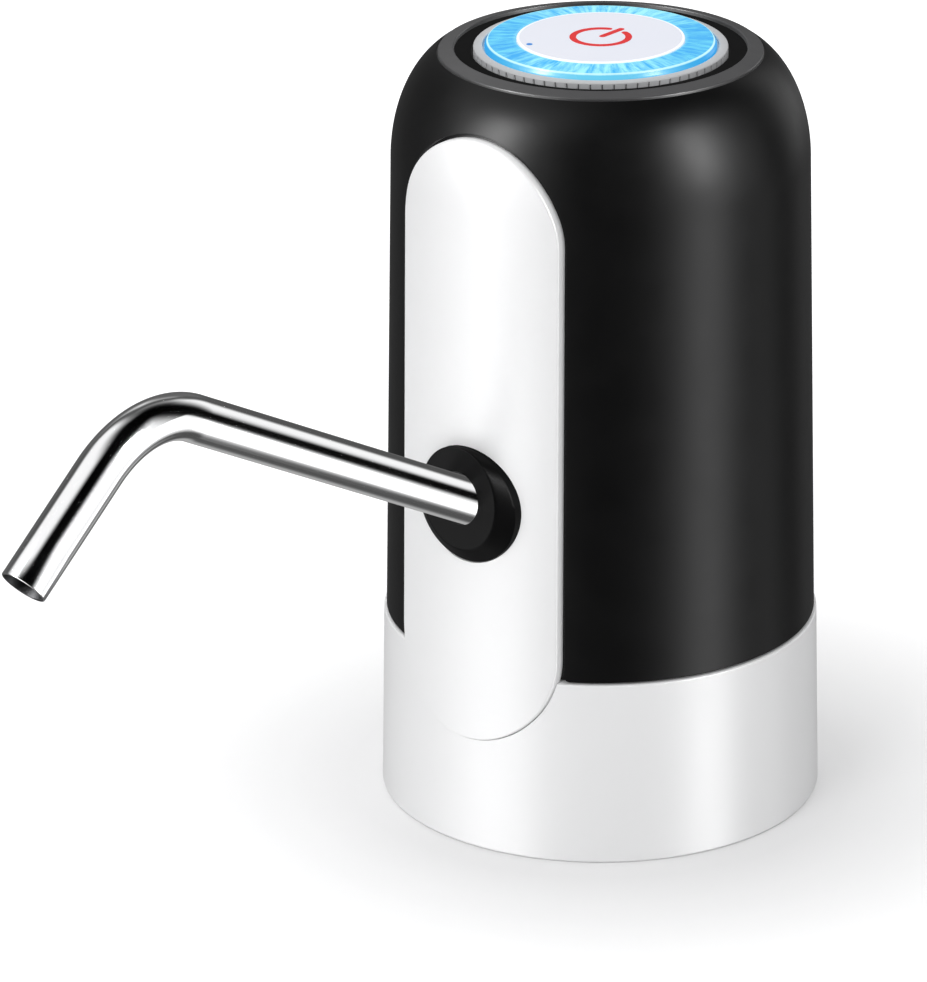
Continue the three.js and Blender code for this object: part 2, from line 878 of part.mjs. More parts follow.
function spoutSocket() {
  const bore = spout.radius + gap;
  const groove = spout.radius + seal.play + 2 * seal.section + gap;
  const grooveHalf = seal.section + gap;
  const barrel = revolve(
    [
      [0, -socket.end],
      [socket.tailRadius, -socket.end],
      [socket.tailRadius, -socket.shoulder],
      [socket.barrelRadius, -socket.shoulder],
      [socket.barrelRadius, -socket.start],
      [bore, -socket.start],
      [bore, -socket.sealPlace + grooveHalf],
      [groove, -socket.sealPlace + grooveHalf],
      [groove, -socket.sealPlace - grooveHalf],
      [bore, -socket.sealPlace - grooveHalf],
      [bore, -socket.shoulder],
      [socket.waterway, -socket.shoulder],
      [socket.waterway, -socket.waterwayEnd],
      [0, -socket.waterwayEnd],
    ],
    facets.fitting,
  );
  const sideways = (radius, reach) =>
    rod(radius, 0, reach, facets.fitting).rotateY(Math.PI / 2).translate(0, 0, -socket.nipplePlace);
  const withNipple = join(
    cut(barrel, sideways(nipple.bore, socket.tailRadius + overrun)),
    cut(
      sideways(nipple.radius, socket.nippleReach),
      rod(socket.waterway + gap, -socket.end, 0, facets.fitting),
      sideways(nipple.bore, socket.nippleReach + overrun),
    ),
  );
  return piece("spout_socket", withNipple, finishes.white);
}

function ringSeal(name, innerRadius, section, place) {
  const middle = innerRadius + section;
  const circle = Array.from({ length: facets.wire + 1 }, (_, i) => {
    const angle = ((i % facets.wire) * Math.PI * 2) / facets.wire;
    return [middle + section * Math.cos(angle), place + section * Math.sin(angle)];
  });
  return piece(name, revolve(circle, facets.tube), finishes.rubber);
}

function socketSeal() {
  return ringSeal("socket_seal", spout.radius + seal.play, seal.section, -socket.sealPlace);
}

// The grommet in the pipe's inner end, which meets the socket's shoulder and leaves with the pipe.
function spoutEndSeal() {
  const outer = spout.radius - spout.wall - gap;
  const end = -spout.insertion;
  return piece(
    "spout_end_seal",
    revolve(
      [
        [outer - grommet.wall, end - gap - grommet.flange],
        [spout.radius, end - gap - grommet.flange],
        [spout.radius, end - gap],
        [outer, end - gap],
        [outer, end + grommet.depth],
        [outer - grommet.wall, end + grommet.depth],
        [outer - grommet.wall, end - gap - grommet.flange],
      ],
      facets.tube,
    ),
    finishes.silicone,
  );
}

function spoutPipe() {
  const tangent = spout.bendRadius * Math.tan(spout.bend / 2);
  const along = new THREE.Vector3(0, 0, 1);
  const down = new THREE.Vector3(0, -1, 0);
  const route = (past) =>
    bentStations(
      new THREE.Vector3(0, 0, -spout.insertion - past),
      along,
      down,
      spout.insertion + past + spout.firstLeg - tangent,
      spout.bendRadius,
      spout.bend,
      spout.bendSteps,
      spout.secondLeg - tangent + past,
    );
  const wall = cut(
    swept(route(0), spout.radius, facets.tube),
    swept(route(overrun), spout.radius - spout.wall, facets.tube),
  );
  const mesh = piece("spout_pipe", wall, finishes.steel);
  mesh.rotation.z = -spout.turned;
  return mesh;
}

function spoutGroup() {
  const group = new THREE.Group();
  group.position.set(0, -spoutRadius, spoutHeight);
  group.rotation.x = Math.PI / 2 - spout.rise;
  group.add(spoutSocket(), socketSeal(), spoutEndSeal(), spoutPipe());
  return group;
}

// Hoses between the inlet, the pump and the socket
function hoseAlong(name, stations) {
  const inner = nipple.radius + gap;
  const longer = stations.map((station, i) => {
    const sign = i === 0 ? -1 : Number(i === stations.length - 1);
    return {
      place: station.place.clone().addScaledVector(station.heading, sign * overrun),
      heading: station.heading,
    };
  });
  const wall = cut(
    swept(stations, inner + hose.wall, facets.fitting),
    swept(longer, inner, facets.fitting),
  );
  return piece(name, wall, finishes.silicone);
}

function inletHose() {
  const heading = new THREE.Vector3(0, 0, 1);
  const ends = [deckTop + inlet.flangeThickness + gap, headLow - gap];
  const stations = ends.map((height) => ({
    place: new THREE.Vector3(inletX, inletY, height),
    heading,
  }));
  return hoseAlong("inlet_hose", stations);
}

// From the socket's nipple, which points across, round to the pump's, which points forwards.
function outletHose() {
  const start = new THREE.Vector3(socket.barrelRadius + gap, outlet.y, outlet.z);
  const end = new THREE.Vector3(pumpX, pumpEdge - gap, pumpOutlet);
  const bendStart = start.clone().setX(socket.nippleReach);
  const bendEnd = end.clone().setY(pumpEdge - pump.outletReach);
  const curve = new THREE.CubicBezierCurve3(
    bendStart,
    bendStart.clone().setX(bendStart.x + (bendEnd.x - bendStart.x) * hose.roundShare),
    bendEnd.clone().setY(bendEnd.y - (bendEnd.y - bendStart.y) * hose.roundShare),
    bendEnd,
  );
  const stations = [{ place: start, heading: curve.getTangent(0) }];
  for (let i = 0; i <= hose.bendSteps; i++) {
    const share = i / hose.bendSteps;
    stations.push({ place: curve.getPoint(share), heading: curve.getTangent(share) });
  }
  stations.push({ place: end, heading: curve.getTangent(1) });
  return hoseAlong("outlet_hose", stations);
}

// Pump, from its head below to the motor above, all about one upright axis
function aroundPump(count, radius, make) {
  return Array.from({ length: count }, (_, i) => {
    const angle = Math.PI / 2 + (i * Math.PI * 2) / count;
    return make(angle).translate(radius * Math.cos(angle), radius * Math.sin(angle), 0);
  });
}

function pumpHead() {
  const nippleEnd = pump.radius + pump.outletReach;
  const outletTube = (radius, end) =>
    facingFront(rod(radius, 0, end, facets.pin)).translate(0, 0, pumpOutlet);
  const inletTube = (radius, low, high) =>
    rod(radius, low, high, facets.pin).translate(pump.inletX, pump.inletY, 0);
  const solid = join(
    rod(pump.radius, headLow, headTop, facets.barrel),
    outletTube(nipple.radius, nippleEnd),
    inletTube(nipple.radius, headLow - pump.inletDrop, headTop),
  );
  return piece(
    "pump_head",
    cut(
      solid,
      outletTube(nipple.bore, nippleEnd + overrun),
      rod(nipple.bore, pumpOutlet, headTop + overrun, facets.pin),
      inletTube(nipple.bore, headLow - pump.inletDrop - overrun, headTop + overrun),
    ),
    finishes.natural,
  );
}

function valvePlate() {
  const ports = aroundPump(pump.cupCount, pump.cupCircle, () =>
    rod(pump.portRadius, valveLow - overrun, valveLow + pump.valvePlate + overrun, facets.wire),
  );
  const middle = rod(nipple.bore, valveLow - overrun, valveLow + pump.valvePlate + overrun, facets.pin);
  const disk = rod(pump.radius, valveLow, valveLow + pump.valvePlate, facets.barrel);
  return piece("valve_plate", cut(disk, ports, middle), finishes.white);
}

// A rubber sheet with one round cup under each arm of the wobble plate.
function diaphragm() {
  const cups = aroundPump(pump.cupCount, pump.cupCircle, () =>
    rod(pump.cupRadius, diaphragmLow, diaphragmTop + pump.cupHeight, facets.pin),
  );
  const hollows = aroundPump(pump.cupCount, pump.cupCircle, () =>
    rod(
      pump.cupRadius - pump.diaphragm / 2,
      diaphragmLow - overrun,
      diaphragmTop + pump.cupHeight - pump.diaphragm / 2,
      facets.pin,
    ),
  );
  const sheet = join(rod(pump.radius, diaphragmLow, diaphragmTop, facets.barrel), cups);
  return piece("diaphragm", cut(sheet, hollows), finishes.rubber);
}

function pumpHousing() {
  const inner = pump.radius - pump.housingWall;
  const floorTop = housingLow + pump.housingFloor;
  const roof = housingTop - pump.housingTop;
  const shell = revolve(
    [
      [0, housingLow],
      [pump.radius, housingLow],
      [pump.radius, housingTop],
      [motor.pilotRadius + gap, housingTop],
      [motor.pilotRadius + gap, roof],
      [inner, roof],
      [inner, floorTop],
      [0, floorTop],
    ],
    facets.barrel,
  );
  const cupHoles = aroundPump(pump.cupCount, pump.cupCircle, () =>
    rod(pump.cupRadius + gap, housingLow - overrun, floorTop + overrun / 2, facets.pin),
  );
  return piece("pump_housing", cut(shell, cupHoles), finishes.natural);
}

// Three arms on a hub. Its bore leaves room for the pin of the eccentric to go round.
function wobblePlate() {
  const top = shaftLow - gap;
  const low = top - wobble.thickness;
  const half = wobble.armWidth / 2;
  const arms = Array.from({ length: pump.cupCount }, (_, i) =>
    block([0, wobble.armReach], [-half, half], [low, top]).rotateZ(
      Math.PI / 2 + (i * Math.PI * 2) / pump.cupCount,
    ),
  );
  const hub = rod(wobble.hubRadius, low, top, facets.tube);
  const play = rod(motor.pinOffset + motor.pinRadius + gap, low - overrun, top + overrun, facets.tube);
  return piece("wobble_plate", cut(join(hub, arms), play), finishes.white);
}

function eccentric() {
  const high = shaftLow + motor.eccentricHeight;
  const wheel = rod(motor.eccentricRadius, shaftLow, high, facets.tube);
  const pin = rod(motor.pinRadius, shaftLow - gap - wobble.thickness, high, facets.pin);
  const shaftHole = rod(motor.shaftRadius + gap, (shaftLow + high) / 2, high + overrun, facets.tube);
  return piece(
    "eccentric",
    cut(join(wheel, pin.translate(motor.pinOffset, 0, 0)), shaftHole),
    finishes.grey,
  );
}

function motorShaft() {
  const low = shaftLow + motor.eccentricHeight / 2 + gap;
  const high = motorTop + gap + motor.capHeight + motor.shaftTail;
  return piece("motor_shaft", rod(motor.shaftRadius, low, high, facets.pin), finishes.steel);
}

function motorCan() {
  const bore = motor.shaftRadius + gap;
  const pilotLow = housingTop - pump.housingTop / 2;
  const profile = [
    [bore, pilotLow],
    [motor.pilotRadius, pilotLow],
    [motor.pilotRadius, motorLow],
    [motor.radius - motor.edge, motorLow],
    [motor.radius, motorLow + motor.edge],
    [motor.radius, motorTop],
    [bore, motorTop],
    [bore, pilotLow],
  ];
  return piece("motor_can", revolve(profile, facets.barrel), finishes.zinc);
}

function motorEndCap() {
  const low = motorTop + gap;
  const high = low + motor.capHeight;
  return piece(
    "motor_end_cap",
    sleeve(motor.capRadius, motor.shaftRadius + gap, low, high, facets.tube),
    finishes.black,
  );
}

function motorTerminals() {
  const low = motorTop + gap + motor.capHeight;
  const half = motor.terminalWidth / 2;
  return [-1, 1].map((side) => {
    const x = side * motor.terminalOffset;
    const thick = motor.terminalThickness / 2;
    const tab = block([x - thick, x + thick], [-half, half], [low, low + motor.terminalHeight]);
    return piece("motor_terminal_" + (side < 0 ? "left" : "right"), tab, finishes.zinc);
  });
}

function pumpGroup() {
  const group = new THREE.Group();
  group.position.set(pumpX, pumpY, 0);
  group.add(pumpHead(), valvePlate(), diaphragm(), pumpHousing(), wobblePlate(), eccentric());
  group.add(motorShaft(), motorCan(), motorEndCap(), ...motorTerminals());
  return group;
}

// Battery and the boards at the back
function batteryCell() {
  const low = plateTop + gap;
  const top = low + battery.length;
  const groove = top - battery.grooveBelowTop;
  const profile = [
    [0, low],
    [battery.radius, low],
    [battery.radius, groove - battery.grooveHeight],
    [battery.radius - battery.grooveDepth, groove - battery.grooveHeight / 2],
    [battery.radius, groove],
    [battery.radius, top],
    [battery.terminalRadius, top],
    [battery.terminalRadius, top + battery.terminalHeight],
    [0, top + battery.terminalHeight],
  ];
  const mesh = piece("battery_cell", revolve(profile, facets.barrel), finishes.battery);
  mesh.position.set(batteryX, batteryY, 0);
  return mesh;
}

function mainBoard() {
  const low = plateTop + gap;
  const { thickness, halfWidth, chipDepth, chipHalfWidth, coilRadius } = board;
  const chipLow = low + board.chipRise;
  const inFront = [boardFront - chipDepth, boardFront + thickness / 2];
  const coil = rod(coilRadius, -inFront[1], -inFront[0], facets.pin).rotateX(Math.PI / 2);
  const whole = join(
    block([-halfWidth, halfWidth], [boardFront, boardBack], [low, low + board.height]),
    block([-chipHalfWidth, chipHalfWidth], inFront, [chipLow, chipLow + board.chipHeight]),
    coil.translate(0, 0, low + board.coilRise),
  );
  return piece("main_board", whole, finishes.boardGreen);
}

function usbSocket() {
  const { halfWidth, halfHeight, wall, height, depth } = port;
  const back = boardBack;
  const shell = block(
    [-halfWidth, halfWidth],
    [back, back + depth],
    [height - halfHeight, height + halfHeight],
  );
  const cavity = block(
    [wall - halfWidth, halfWidth - wall],
    [back + depth - port.cavityDepth, back + depth + overrun],
    [height - halfHeight + wall, height + halfHeight - wall],
  );
  return piece("usb_socket", cut(shell, cavity), finishes.zinc);
}

function chargeLightPipe() {
  const from = boardBack + gap;
  const to = surfaceRadius(lightHeight) - cover.inset - chargeLight.behindSurface;
  const pipe = rod(chargeLight.radius, -to, -from, facets.pin).rotateX(Math.PI / 2);
  return piece("charge_light_pipe", pipe.translate(0, 0, lightHeight), finishes.frosted);
}

// The inner frame on the deck: channels for the battery and the pump, rails and the socket's post
function batteryChannel() {
  const inner = battery.radius + gap;
  const outwards = battery.angle;
  const [from, to] = [outwards + frame.channelOpening, outwards + 2 * Math.PI - frame.channelOpening];
  const shape = sector(inner + frame.channelWall, inner, from, to);
  const channel = upright(shape, deckTop, plateTop + frame.channelHeight, facets.tube);
  return channel.translate(batteryX, batteryY, 0);
}

function pumpCradle() {
  const inner = pump.radius + gap;
  const outer = inner + frame.cupWall;
  const shelfTop = headLow - gap;
  const [from, to] = [frame.cupOpening - Math.PI / 2, Math.PI * 1.5 - frame.cupOpening];
  const middle = (inner + outer) / 2;
  return [
    upright(sector(outer, inner, from, to), deckTop, shelfTop + frame.cupTop, facets.tube),
    upright(
      sector(middle, inner - frame.shelfReach, from, to),
      shelfTop - frame.shelfThickness,
      shelfTop,
      facets.tube,
    ),
  ].map((geometry) => geometry.translate(pumpX, pumpY, 0));
}

function boardRails() {
  const inner = board.halfWidth - frame.railGrip;
  const front = boardFront - gap - frame.railLip;
  const back = boardBack + gap + frame.railLip;
  const slotEnd = board.halfWidth + gap;
  return [0, Math.PI].map((turn) => {
    const rail = cut(
      block([inner, inner + frame.railThickness], [front, back], [deckTop, plateTop + frame.railHeight]),
      block(
        [0, slotEnd],
        [boardFront - gap, boardBack + gap],
        [plateTop, plateTop + frame.railHeight + overrun],
      ),
    );
    return turn ? rail.applyMatrix4(new THREE.Matrix4().makeScale(-1, 1, 1)) : rail;
  });
}

function socketPost() {
  const half = frame.postHalfWidth;
  const post = block([-half, half], [-frame.postFront, -frame.postBack], [deckTop, spoutHeight]);
  const clearance = socket.barrelRadius + gap;
  const cradle = onSpoutAxis(rod(clearance, -socket.end - overrun, overrun, facets.barrel));
  const above = block(
    [-half - overrun, half + overrun],
    [-frame.postFront - overrun, overrun - frame.postBack],
    [alongSpoutAxis(-socket.shoulder).z - socket.tailRadius, spoutHeight + overrun],
  );
  return cut(post, cradle, above);
}

function innerFrame() {
  const plate = join(
    rod(lipInnerRadius - frame.plateInset, deckTop, plateTop, facets.barrel),
    rod(pump.radius + gap + frame.cupWall, deckTop, plateTop, facets.barrel).translate(pumpX, pumpY, 0),
    block(
      [-board.halfWidth - frame.railGrip, board.halfWidth + frame.railGrip],
      [0, boardBack + gap + frame.railLip],
      [deckTop, plateTop],
    ),
  );
  const inletHole = rod(inlet.flangeRadius + gap, deckTop - overrun, plateTop + overrun, facets.tube);
  const bossRoom = screwPlaces().map(([x, y]) =>
    rod(boss.radius + gap, deckTop - overrun, plateTop + overrun, facets.pin).translate(x, y, 0),
  );
  const whole = join(plate, batteryChannel(), pumpCradle(), boardRails(), socketPost());
  const room = rod(lipInnerRadius - gap, deckTop, plateTop + frame.channelHeight, facets.body);
  const geometry = cut(common(whole, room), inletHole.translate(inletX, inletY, 0), bossRoom);
  return piece("inner_frame", geometry, finishes.white);
}

// Bezel, trim ring, button, lights and switch at the top
function onPosts(make) {
  return Array.from({ length: bezel.postCount }, (_, i) => {
    const angle = Math.PI / 2 + (i * Math.PI * 2) / bezel.postCount;
    return make(postCircle * Math.cos(angle), postCircle * Math.sin(angle), i);
  });
}

function buttonBezel() {
  const outer = seatRadius - gap;
  const inner = sleeveRadius;
  const sleeveOuter = inner + bezel.sleeveWall;
  const low = seatHeight - bezel.sleeveDepth;
  const ring = revolve(
    [
      [inner, low],
      [sleeveOuter, low],
      [sleeveOuter, seatHeight],
      [outer, seatHeight],
      [outer, bezelTop],
      [inner, bezelTop],
      [inner, low],
    ],
    facets.top,
  );
  const postTop = seatHeight + bezel.floorThickness / 2;
  const posts = onPosts((x, y) =>
    rod(bezel.postRadius, boardTop, postTop, facets.pin).translate(x, y, 0),
  );
  const bores = onPosts((x, y) =>
    rod(
      screw.shankRadius + gap,
      boardTop - overrun,
      boardLow + bezel.screwLength + gap,
      facets.pin,
    ).translate(x, y, 0),
  );
  return piece("button_bezel", cut(join(ring, posts), bores), finishes.black);
}

function trimRing() {
  const outer = seatRadius - gap;
  const high = bezelTop + trim.height;
  const { chamfer } = trim;
  const innerRadius = outer - trim.width;
  return piece(
    "trim_ring",
    revolve(
      [
        [innerRadius, bezelTop],
        [outer, bezelTop],
        [outer, high - chamfer],
        [outer - chamfer, high],
        [innerRadius + chamfer, high + trim.innerRise],
        [innerRadius, high + trim.innerRise - chamfer],
        [innerRadius, bezelTop],
      ],
      facets.top,
    ),
    finishes.darkGrey,
  );
}

// The moving cup of the button: a plate with a stem, and a wall that ends in a catch below the
// bezel's sleeve. The catch is notched round the bezel's posts, which keep the button from turning.
function buttonBody() {
  const inner = buttonRadius - button.rimWall;
  const catchTop = seatHeight - bezel.sleeveDepth - gap;
  const catchLow = catchTop - button.catchHeight;
  const notches = onPosts((x, y) =>
    rod(bezel.postRadius + gap, catchLow - overrun, catchTop + gap / 2, facets.pin).translate(x, y, 0),
  );
  const outerTop = buttonTop - button.rimFall;
  const cup = revolve(
    [
      [0, stemLow],
      [button.stemRadius, stemLow],
      [button.stemRadius, buttonPlateLow],
      [inner, buttonPlateLow],
      [inner, catchLow],
      [buttonRadius + button.catchReach, catchLow],
      [buttonRadius + button.catchReach, catchTop],
      [buttonRadius, catchTop],
      [buttonRadius, outerTop - button.rimRound],
      [buttonRadius - button.rimRound, outerTop],
      [inner, buttonTop],
      [inner, buttonPlateTop],
      [0, buttonPlateTop],
    ],
    facets.top,
  );
  return piece("button_body", cut(cup, notches), finishes.frosted);
}

function lightRingPiece() {
  const outer = lightOuter;
  return piece(
    "light_ring",
    revolve(
      [
        [lightInner, buttonPlateTop],
        [outer, buttonPlateTop],
        [outer, buttonPlateTop + lightRing.outerHeight],
        [outer - lightRing.edgeWidth, buttonPlateTop + lightRing.edgeHeight],
        [lightInner, buttonPlateTop + lightRing.innerHeight],
        [lightInner, buttonPlateTop],
      ],
      facets.top,
    ),
    finishes.blueGlow,
  );
}

function buttonDisc() {
  const radius = lightInner - gap;
  const high = buttonPlateTop + disc.height;
  return piece(
    "button_disc",
    revolve(
      [
        [0, buttonPlateTop],
        [radius, buttonPlateTop],
        [radius, high - disc.edgeRound],
        [radius - disc.edgeRound, high],
        [0, high],
      ],
      facets.top,
    ),
    finishes.discWhite,
  );
}

function ledBoardPiece() {
  const holes = onPosts((x, y) =>
    rod(screw.shankRadius + gap, boardLow - overrun, boardTop + overrun, facets.pin).translate(x, y, 0),
  );
  const plate = rod(postCircle + ledBoard.margin, boardLow, boardTop, facets.barrel);
  return piece("led_board", cut(plate, holes), finishes.boardGreen);
}

function leds() {
  return Array.from({ length: led.count }, (_, i) => {
    const mesh = piece(
      "led_" + (i + 1),
      block([-led.width / 2, led.width / 2], [-led.length / 2, led.length / 2], [0, led.height]),
      finishes.frosted,
    );
    const angle = (i * Math.PI * 2) / led.count;
    mesh.position.set(ledCircle * Math.cos(angle), ledCircle * Math.sin(angle), boardTop);
    mesh.rotation.z = angle;
    return mesh;
  });
}

function boardScrews() {
  return onPosts((x, y, i) => {
    const mesh = piece(
      "board_screw_" + (i + 1),
      screwGeometry(boardLow, bezel.screwLength),
      finishes.zinc,
    );
    mesh.position.set(x, y, 0);
    return mesh;
  });
}

function tactSwitch() {
  const half = tact.size / 2;
  const top = boardTop + tact.height;
  const holeLow = top - tact.plungerHold - tact.travel - gap;
  const bore = rod(tact.plungerRadius + gap, holeLow, top + overrun, facets.tube);
  const box = block([-half, half], [-half, half], [boardTop, top]);
  return piece("tact_switch", cut(box, bore), finishes.black);
}

function switchPlunger() {
  const top = boardTop + tact.height;
  const plunger = rod(tact.plungerRadius, top - tact.plungerHold, stemLow - gap, facets.tube);
  return piece("switch_plunger", plunger, finishes.grey);
}

function returnSpring() {
  const low = boardTop + spring.play + spring.wireRadius;
  const high = buttonPlateLow - spring.play - spring.wireRadius;
  const steps = spring.turns * spring.stepsPerTurn;
  const climb = (high - low) / (spring.turns * Math.PI * 2);
  const stations = Array.from({ length: steps + 1 }, (_, i) => {
    const angle = (i / spring.stepsPerTurn) * Math.PI * 2;
    const { radius } = spring;
    return {
      place: new THREE.Vector3(radius * Math.cos(angle), radius * Math.sin(angle), low + climb * angle),
      heading: new THREE.Vector3(-radius * Math.sin(angle), radius * Math.cos(angle), climb).normalize(),
    };
  });
  return piece("return_spring", swept(stations, spring.wireRadius, facets.wire), finishes.steel);
}

const dispenser = new THREE.Group();
dispenser.position.z = -neck.depth;
dispenser.add(
  baseSkirt(),
  neckCollar(),
  inletNipple(),
  ...deckScrews(),
  outerCover(),
  frontPanel(),
  spoutCollar(),
  spoutGroup(),
  innerFrame(),
  inletHose(),
  outletHose(),
  pumpGroup(),
  batteryCell(),
  mainBoard(),
  usbSocket(),
  chargeLightPipe(),
  buttonBezel(),
  trimRing(),
  buttonBody(),
  lightRingPiece(),
  buttonDisc(),
  ledBoardPiece(),
  ...leds(),
  ...boardScrews(),
  tactSwitch(),
  switchPlunger(),
  returnSpring(),
);

const product = new THREE.Group();
product.add(dispenser);
export default product;
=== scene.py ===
import json
import math
import bmesh
import bpy
from mathutils import Matrix, Vector

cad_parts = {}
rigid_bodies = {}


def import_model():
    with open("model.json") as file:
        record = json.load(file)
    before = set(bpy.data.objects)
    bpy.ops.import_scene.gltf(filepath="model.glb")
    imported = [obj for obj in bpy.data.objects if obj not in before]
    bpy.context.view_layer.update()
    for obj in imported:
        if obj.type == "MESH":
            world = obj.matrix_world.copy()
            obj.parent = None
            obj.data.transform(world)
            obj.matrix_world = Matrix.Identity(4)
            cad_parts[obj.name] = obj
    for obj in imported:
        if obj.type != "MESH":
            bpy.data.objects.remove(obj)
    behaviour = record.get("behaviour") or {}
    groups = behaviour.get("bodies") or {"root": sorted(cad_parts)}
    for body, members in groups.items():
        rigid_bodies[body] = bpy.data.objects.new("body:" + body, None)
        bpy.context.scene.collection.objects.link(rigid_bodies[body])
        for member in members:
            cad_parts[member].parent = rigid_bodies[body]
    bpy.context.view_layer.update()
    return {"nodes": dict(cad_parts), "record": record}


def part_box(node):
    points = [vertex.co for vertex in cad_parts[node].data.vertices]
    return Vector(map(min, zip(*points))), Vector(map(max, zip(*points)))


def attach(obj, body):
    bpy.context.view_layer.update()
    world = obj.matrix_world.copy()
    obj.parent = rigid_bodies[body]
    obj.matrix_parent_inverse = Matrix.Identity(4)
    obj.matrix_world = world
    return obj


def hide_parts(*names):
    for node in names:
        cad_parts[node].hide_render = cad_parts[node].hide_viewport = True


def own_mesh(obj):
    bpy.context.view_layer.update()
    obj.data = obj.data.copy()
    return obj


# Looks of the bottle pump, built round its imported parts.
# Sizes below are in millimetres and heights count up from the skirt's rim.
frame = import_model()
mm = 0.001
rimDrop = 24.0  # the skirt's rim lies this far below the frame's origin


class Sizes(dict):
    # a dictionary of sizes, each also read as sizes.name
    __getattr__ = dict.__getitem__


# Making meshes

meshSizes = Sizes(
    tiny=1e-6, weld=2e-7, flatAngle=math.radians(172), edgeShare=0.48,
    formPlay=0.03,  # how far from the body's form a point still counts as on it
)


def place(x, y, height):
    return Vector((x * mm, y * mm, (height - rimDrop) * mm))


def spun(x, y, angle):
    cosine, sine = math.cos(angle), math.sin(angle)
    return x * cosine - y * sine, x * sine + y * cosine


def circle(count, radius=1.0):
    angles = [2 * math.pi * k / count for k in range(count)]
    return [(radius * math.cos(angle), radius * math.sin(angle)) for angle in angles]


def arc(steps, start=0.0, sweep=math.pi / 2, first=1):
    # points of a unit arc, by default without its first one
    angles = [start + sweep * k / steps for k in range(first, first + steps)]
    return [(math.cos(angle), math.sin(angle)) for angle in angles]


def addPiece(name, points, faces, material, body=None, nodes=(), slotName=None):
    mesh = bpy.data.meshes.new(name)
    mesh.from_pydata([tuple(p) for p in points], [], faces)
    mesh.validate()
    mesh.materials.append(material)
    piece = bpy.data.objects.new(name, mesh)
    bpy.context.scene.collection.objects.link(piece)
    if body:
        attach(piece, body)
    if nodes:
        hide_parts(*nodes)
    return piece


def addShell(name, shape, slotName, node=None, body="housing", material=None):
    # a closed piece of the part, which mostly stands for a node
    nodes = [node] if node else ()
    piece = addPiece(name, *shape, material or finishes[slotName], body, nodes, slotName)
    faceOutwards(piece)
    return piece


def rounded(corners, steps=4):
    # corners: radius, height and the size of the rounding
    points = []
    for i, (x, y, size) in enumerate(corners):
        here = Vector((x, y))
        before = Vector(corners[i - 1][:2]) - here
        after = Vector(corners[(i + 1) % len(corners)][:2]) - here
        plain = size <= 0 or min(before.length, after.length) < meshSizes.tiny
        if plain or before.angle(after) > meshSizes.flatAngle:
            points.append(here)
            continue
        angle = before.angle(after)
        most = min(before.length, after.length) * meshSizes.edgeShare
        reach = min(size / math.tan(angle / 2), most)
        size = reach * math.tan(angle / 2)
        inwards = (before.normalized() + after.normalized()).normalized()
        centre = here + inwards * (size / math.sin(angle / 2))
        start = here + before.normalized() * reach - centre
        turn = start.angle_signed(here + after.normalized() * reach - centre)
        for k in range(steps + 1):
            points.append(centre + Vector(spun(*start, -turn * k / steps)))
    return [(max(p.x, 0.0), p.y) for p in points]


def turnedShape(profile, count, shift=None):
    # closed profile of (radius, height); points on the axis become poles
    points, rings = [], []
    for radius, height in profile:
        if radius < meshSizes.tiny:
            rings.append([len(points)])
            points.append(place(0, 0, height))
            continue
        rings.append(range(len(points), len(points) + count))
        for k, (x, y) in enumerate(circle(count)):
            reach = shift(k, radius, height) if shift else radius
            points.append(place(reach * x, reach * y, height))
    faces = []
    for a, b in zip(rings, rings[1:] + rings[:1]):
        if len(a) == 1 and len(b) == 1:
            continue
        for k in range(count):
            n = (k + 1) % count
            if len(a) == 1:
                faces.append((a[0], b[n], b[k]))
            elif len(b) == 1:
                faces.append((a[k], a[n], b[0]))
            else:
                faces.append((a[k], a[n], b[n], b[k]))
    return points, faces


def loftShape(rings, closed=True, looped=False):
    # closed puts a face on both ends, looped joins the last ring to the first
    points = [p for ring in rings for p in ring]
    count, total = len(rings[0]), len(points)
    faces = []
    for i in range(0, total if looped else total - count, count):
        for k in range(count):
            n = (k + 1) % count
            faces.append((i + k, i + n, (i + count + n) % total, (i + count + k) % total))
    if closed:
        faces.append(tuple(reversed(range(count))))
        faces.append(tuple(range(total - count, total)))
    return points, faces


def rodShape(radius, start, end, count):
    axis = (end - start).normalized()
    across = axis.orthogonal().normalized()
    up = axis.cross(across)
    spokes = [(across * x + up * y) * (radius * mm) for x, y in circle(count)]
    return loftShape([[middle + spoke for spoke in spokes] for middle in (start, end)])


def uprightRods(radius, spots, low, high, count):
    return together(*[rodShape(radius, place(x, y, low), place(x, y, high), count) for x, y in spots])


def blockShape(low, high):
    xs, ys, zs = zip(low, high)
    points = [place(x, y, z) for z in zs for y in ys for x in xs]
    faces = [(0, 2, 3, 1), (4, 5, 7, 6), (0, 1, 5, 4), (2, 6, 7, 3), (0, 4, 6, 2), (1, 3, 7, 5)]
    return points, faces


def together(*shapes):
    points, faces = [], []
    for shapePoints, shapeFaces in shapes:
        start = len(points)
        points += shapePoints
        faces += [tuple(start + i for i in face) for face in shapeFaces]
    return points, faces


def moved(shape, x, y):
    return [p + Vector((x * mm, y * mm, 0)) for p in shape[0]], shape[1]


def middleOf(node):
    low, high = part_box(node)
    return (low.x + high.x) / 2 / mm, (low.y + high.y) / 2 / mm


def applyModifiers(piece):
    bpy.context.view_layer.update()
    evaluated = piece.evaluated_get(bpy.context.evaluated_depsgraph_get())
    mesh = bpy.data.meshes.new_from_object(evaluated)
    mesh.name = piece.name
    piece.modifiers.clear()
    old = piece.data
    piece.data = mesh
    bpy.data.meshes.remove(old)


def boolean(piece, operation, shapes):
    for shape in shapes:
        tool = addPiece("tool", *shape, piece.data.materials[0])
        faceOutwards(tool)
        modifier = piece.modifiers.new("boolean", "BOOLEAN")
        modifier.operation = operation
        modifier.solver = "EXACT"
        modifier.object = tool
        applyModifiers(piece)
        bpy.data.objects.remove(tool)


def cutAway(piece, *shapes):
    boolean(piece, "DIFFERENCE", shapes)


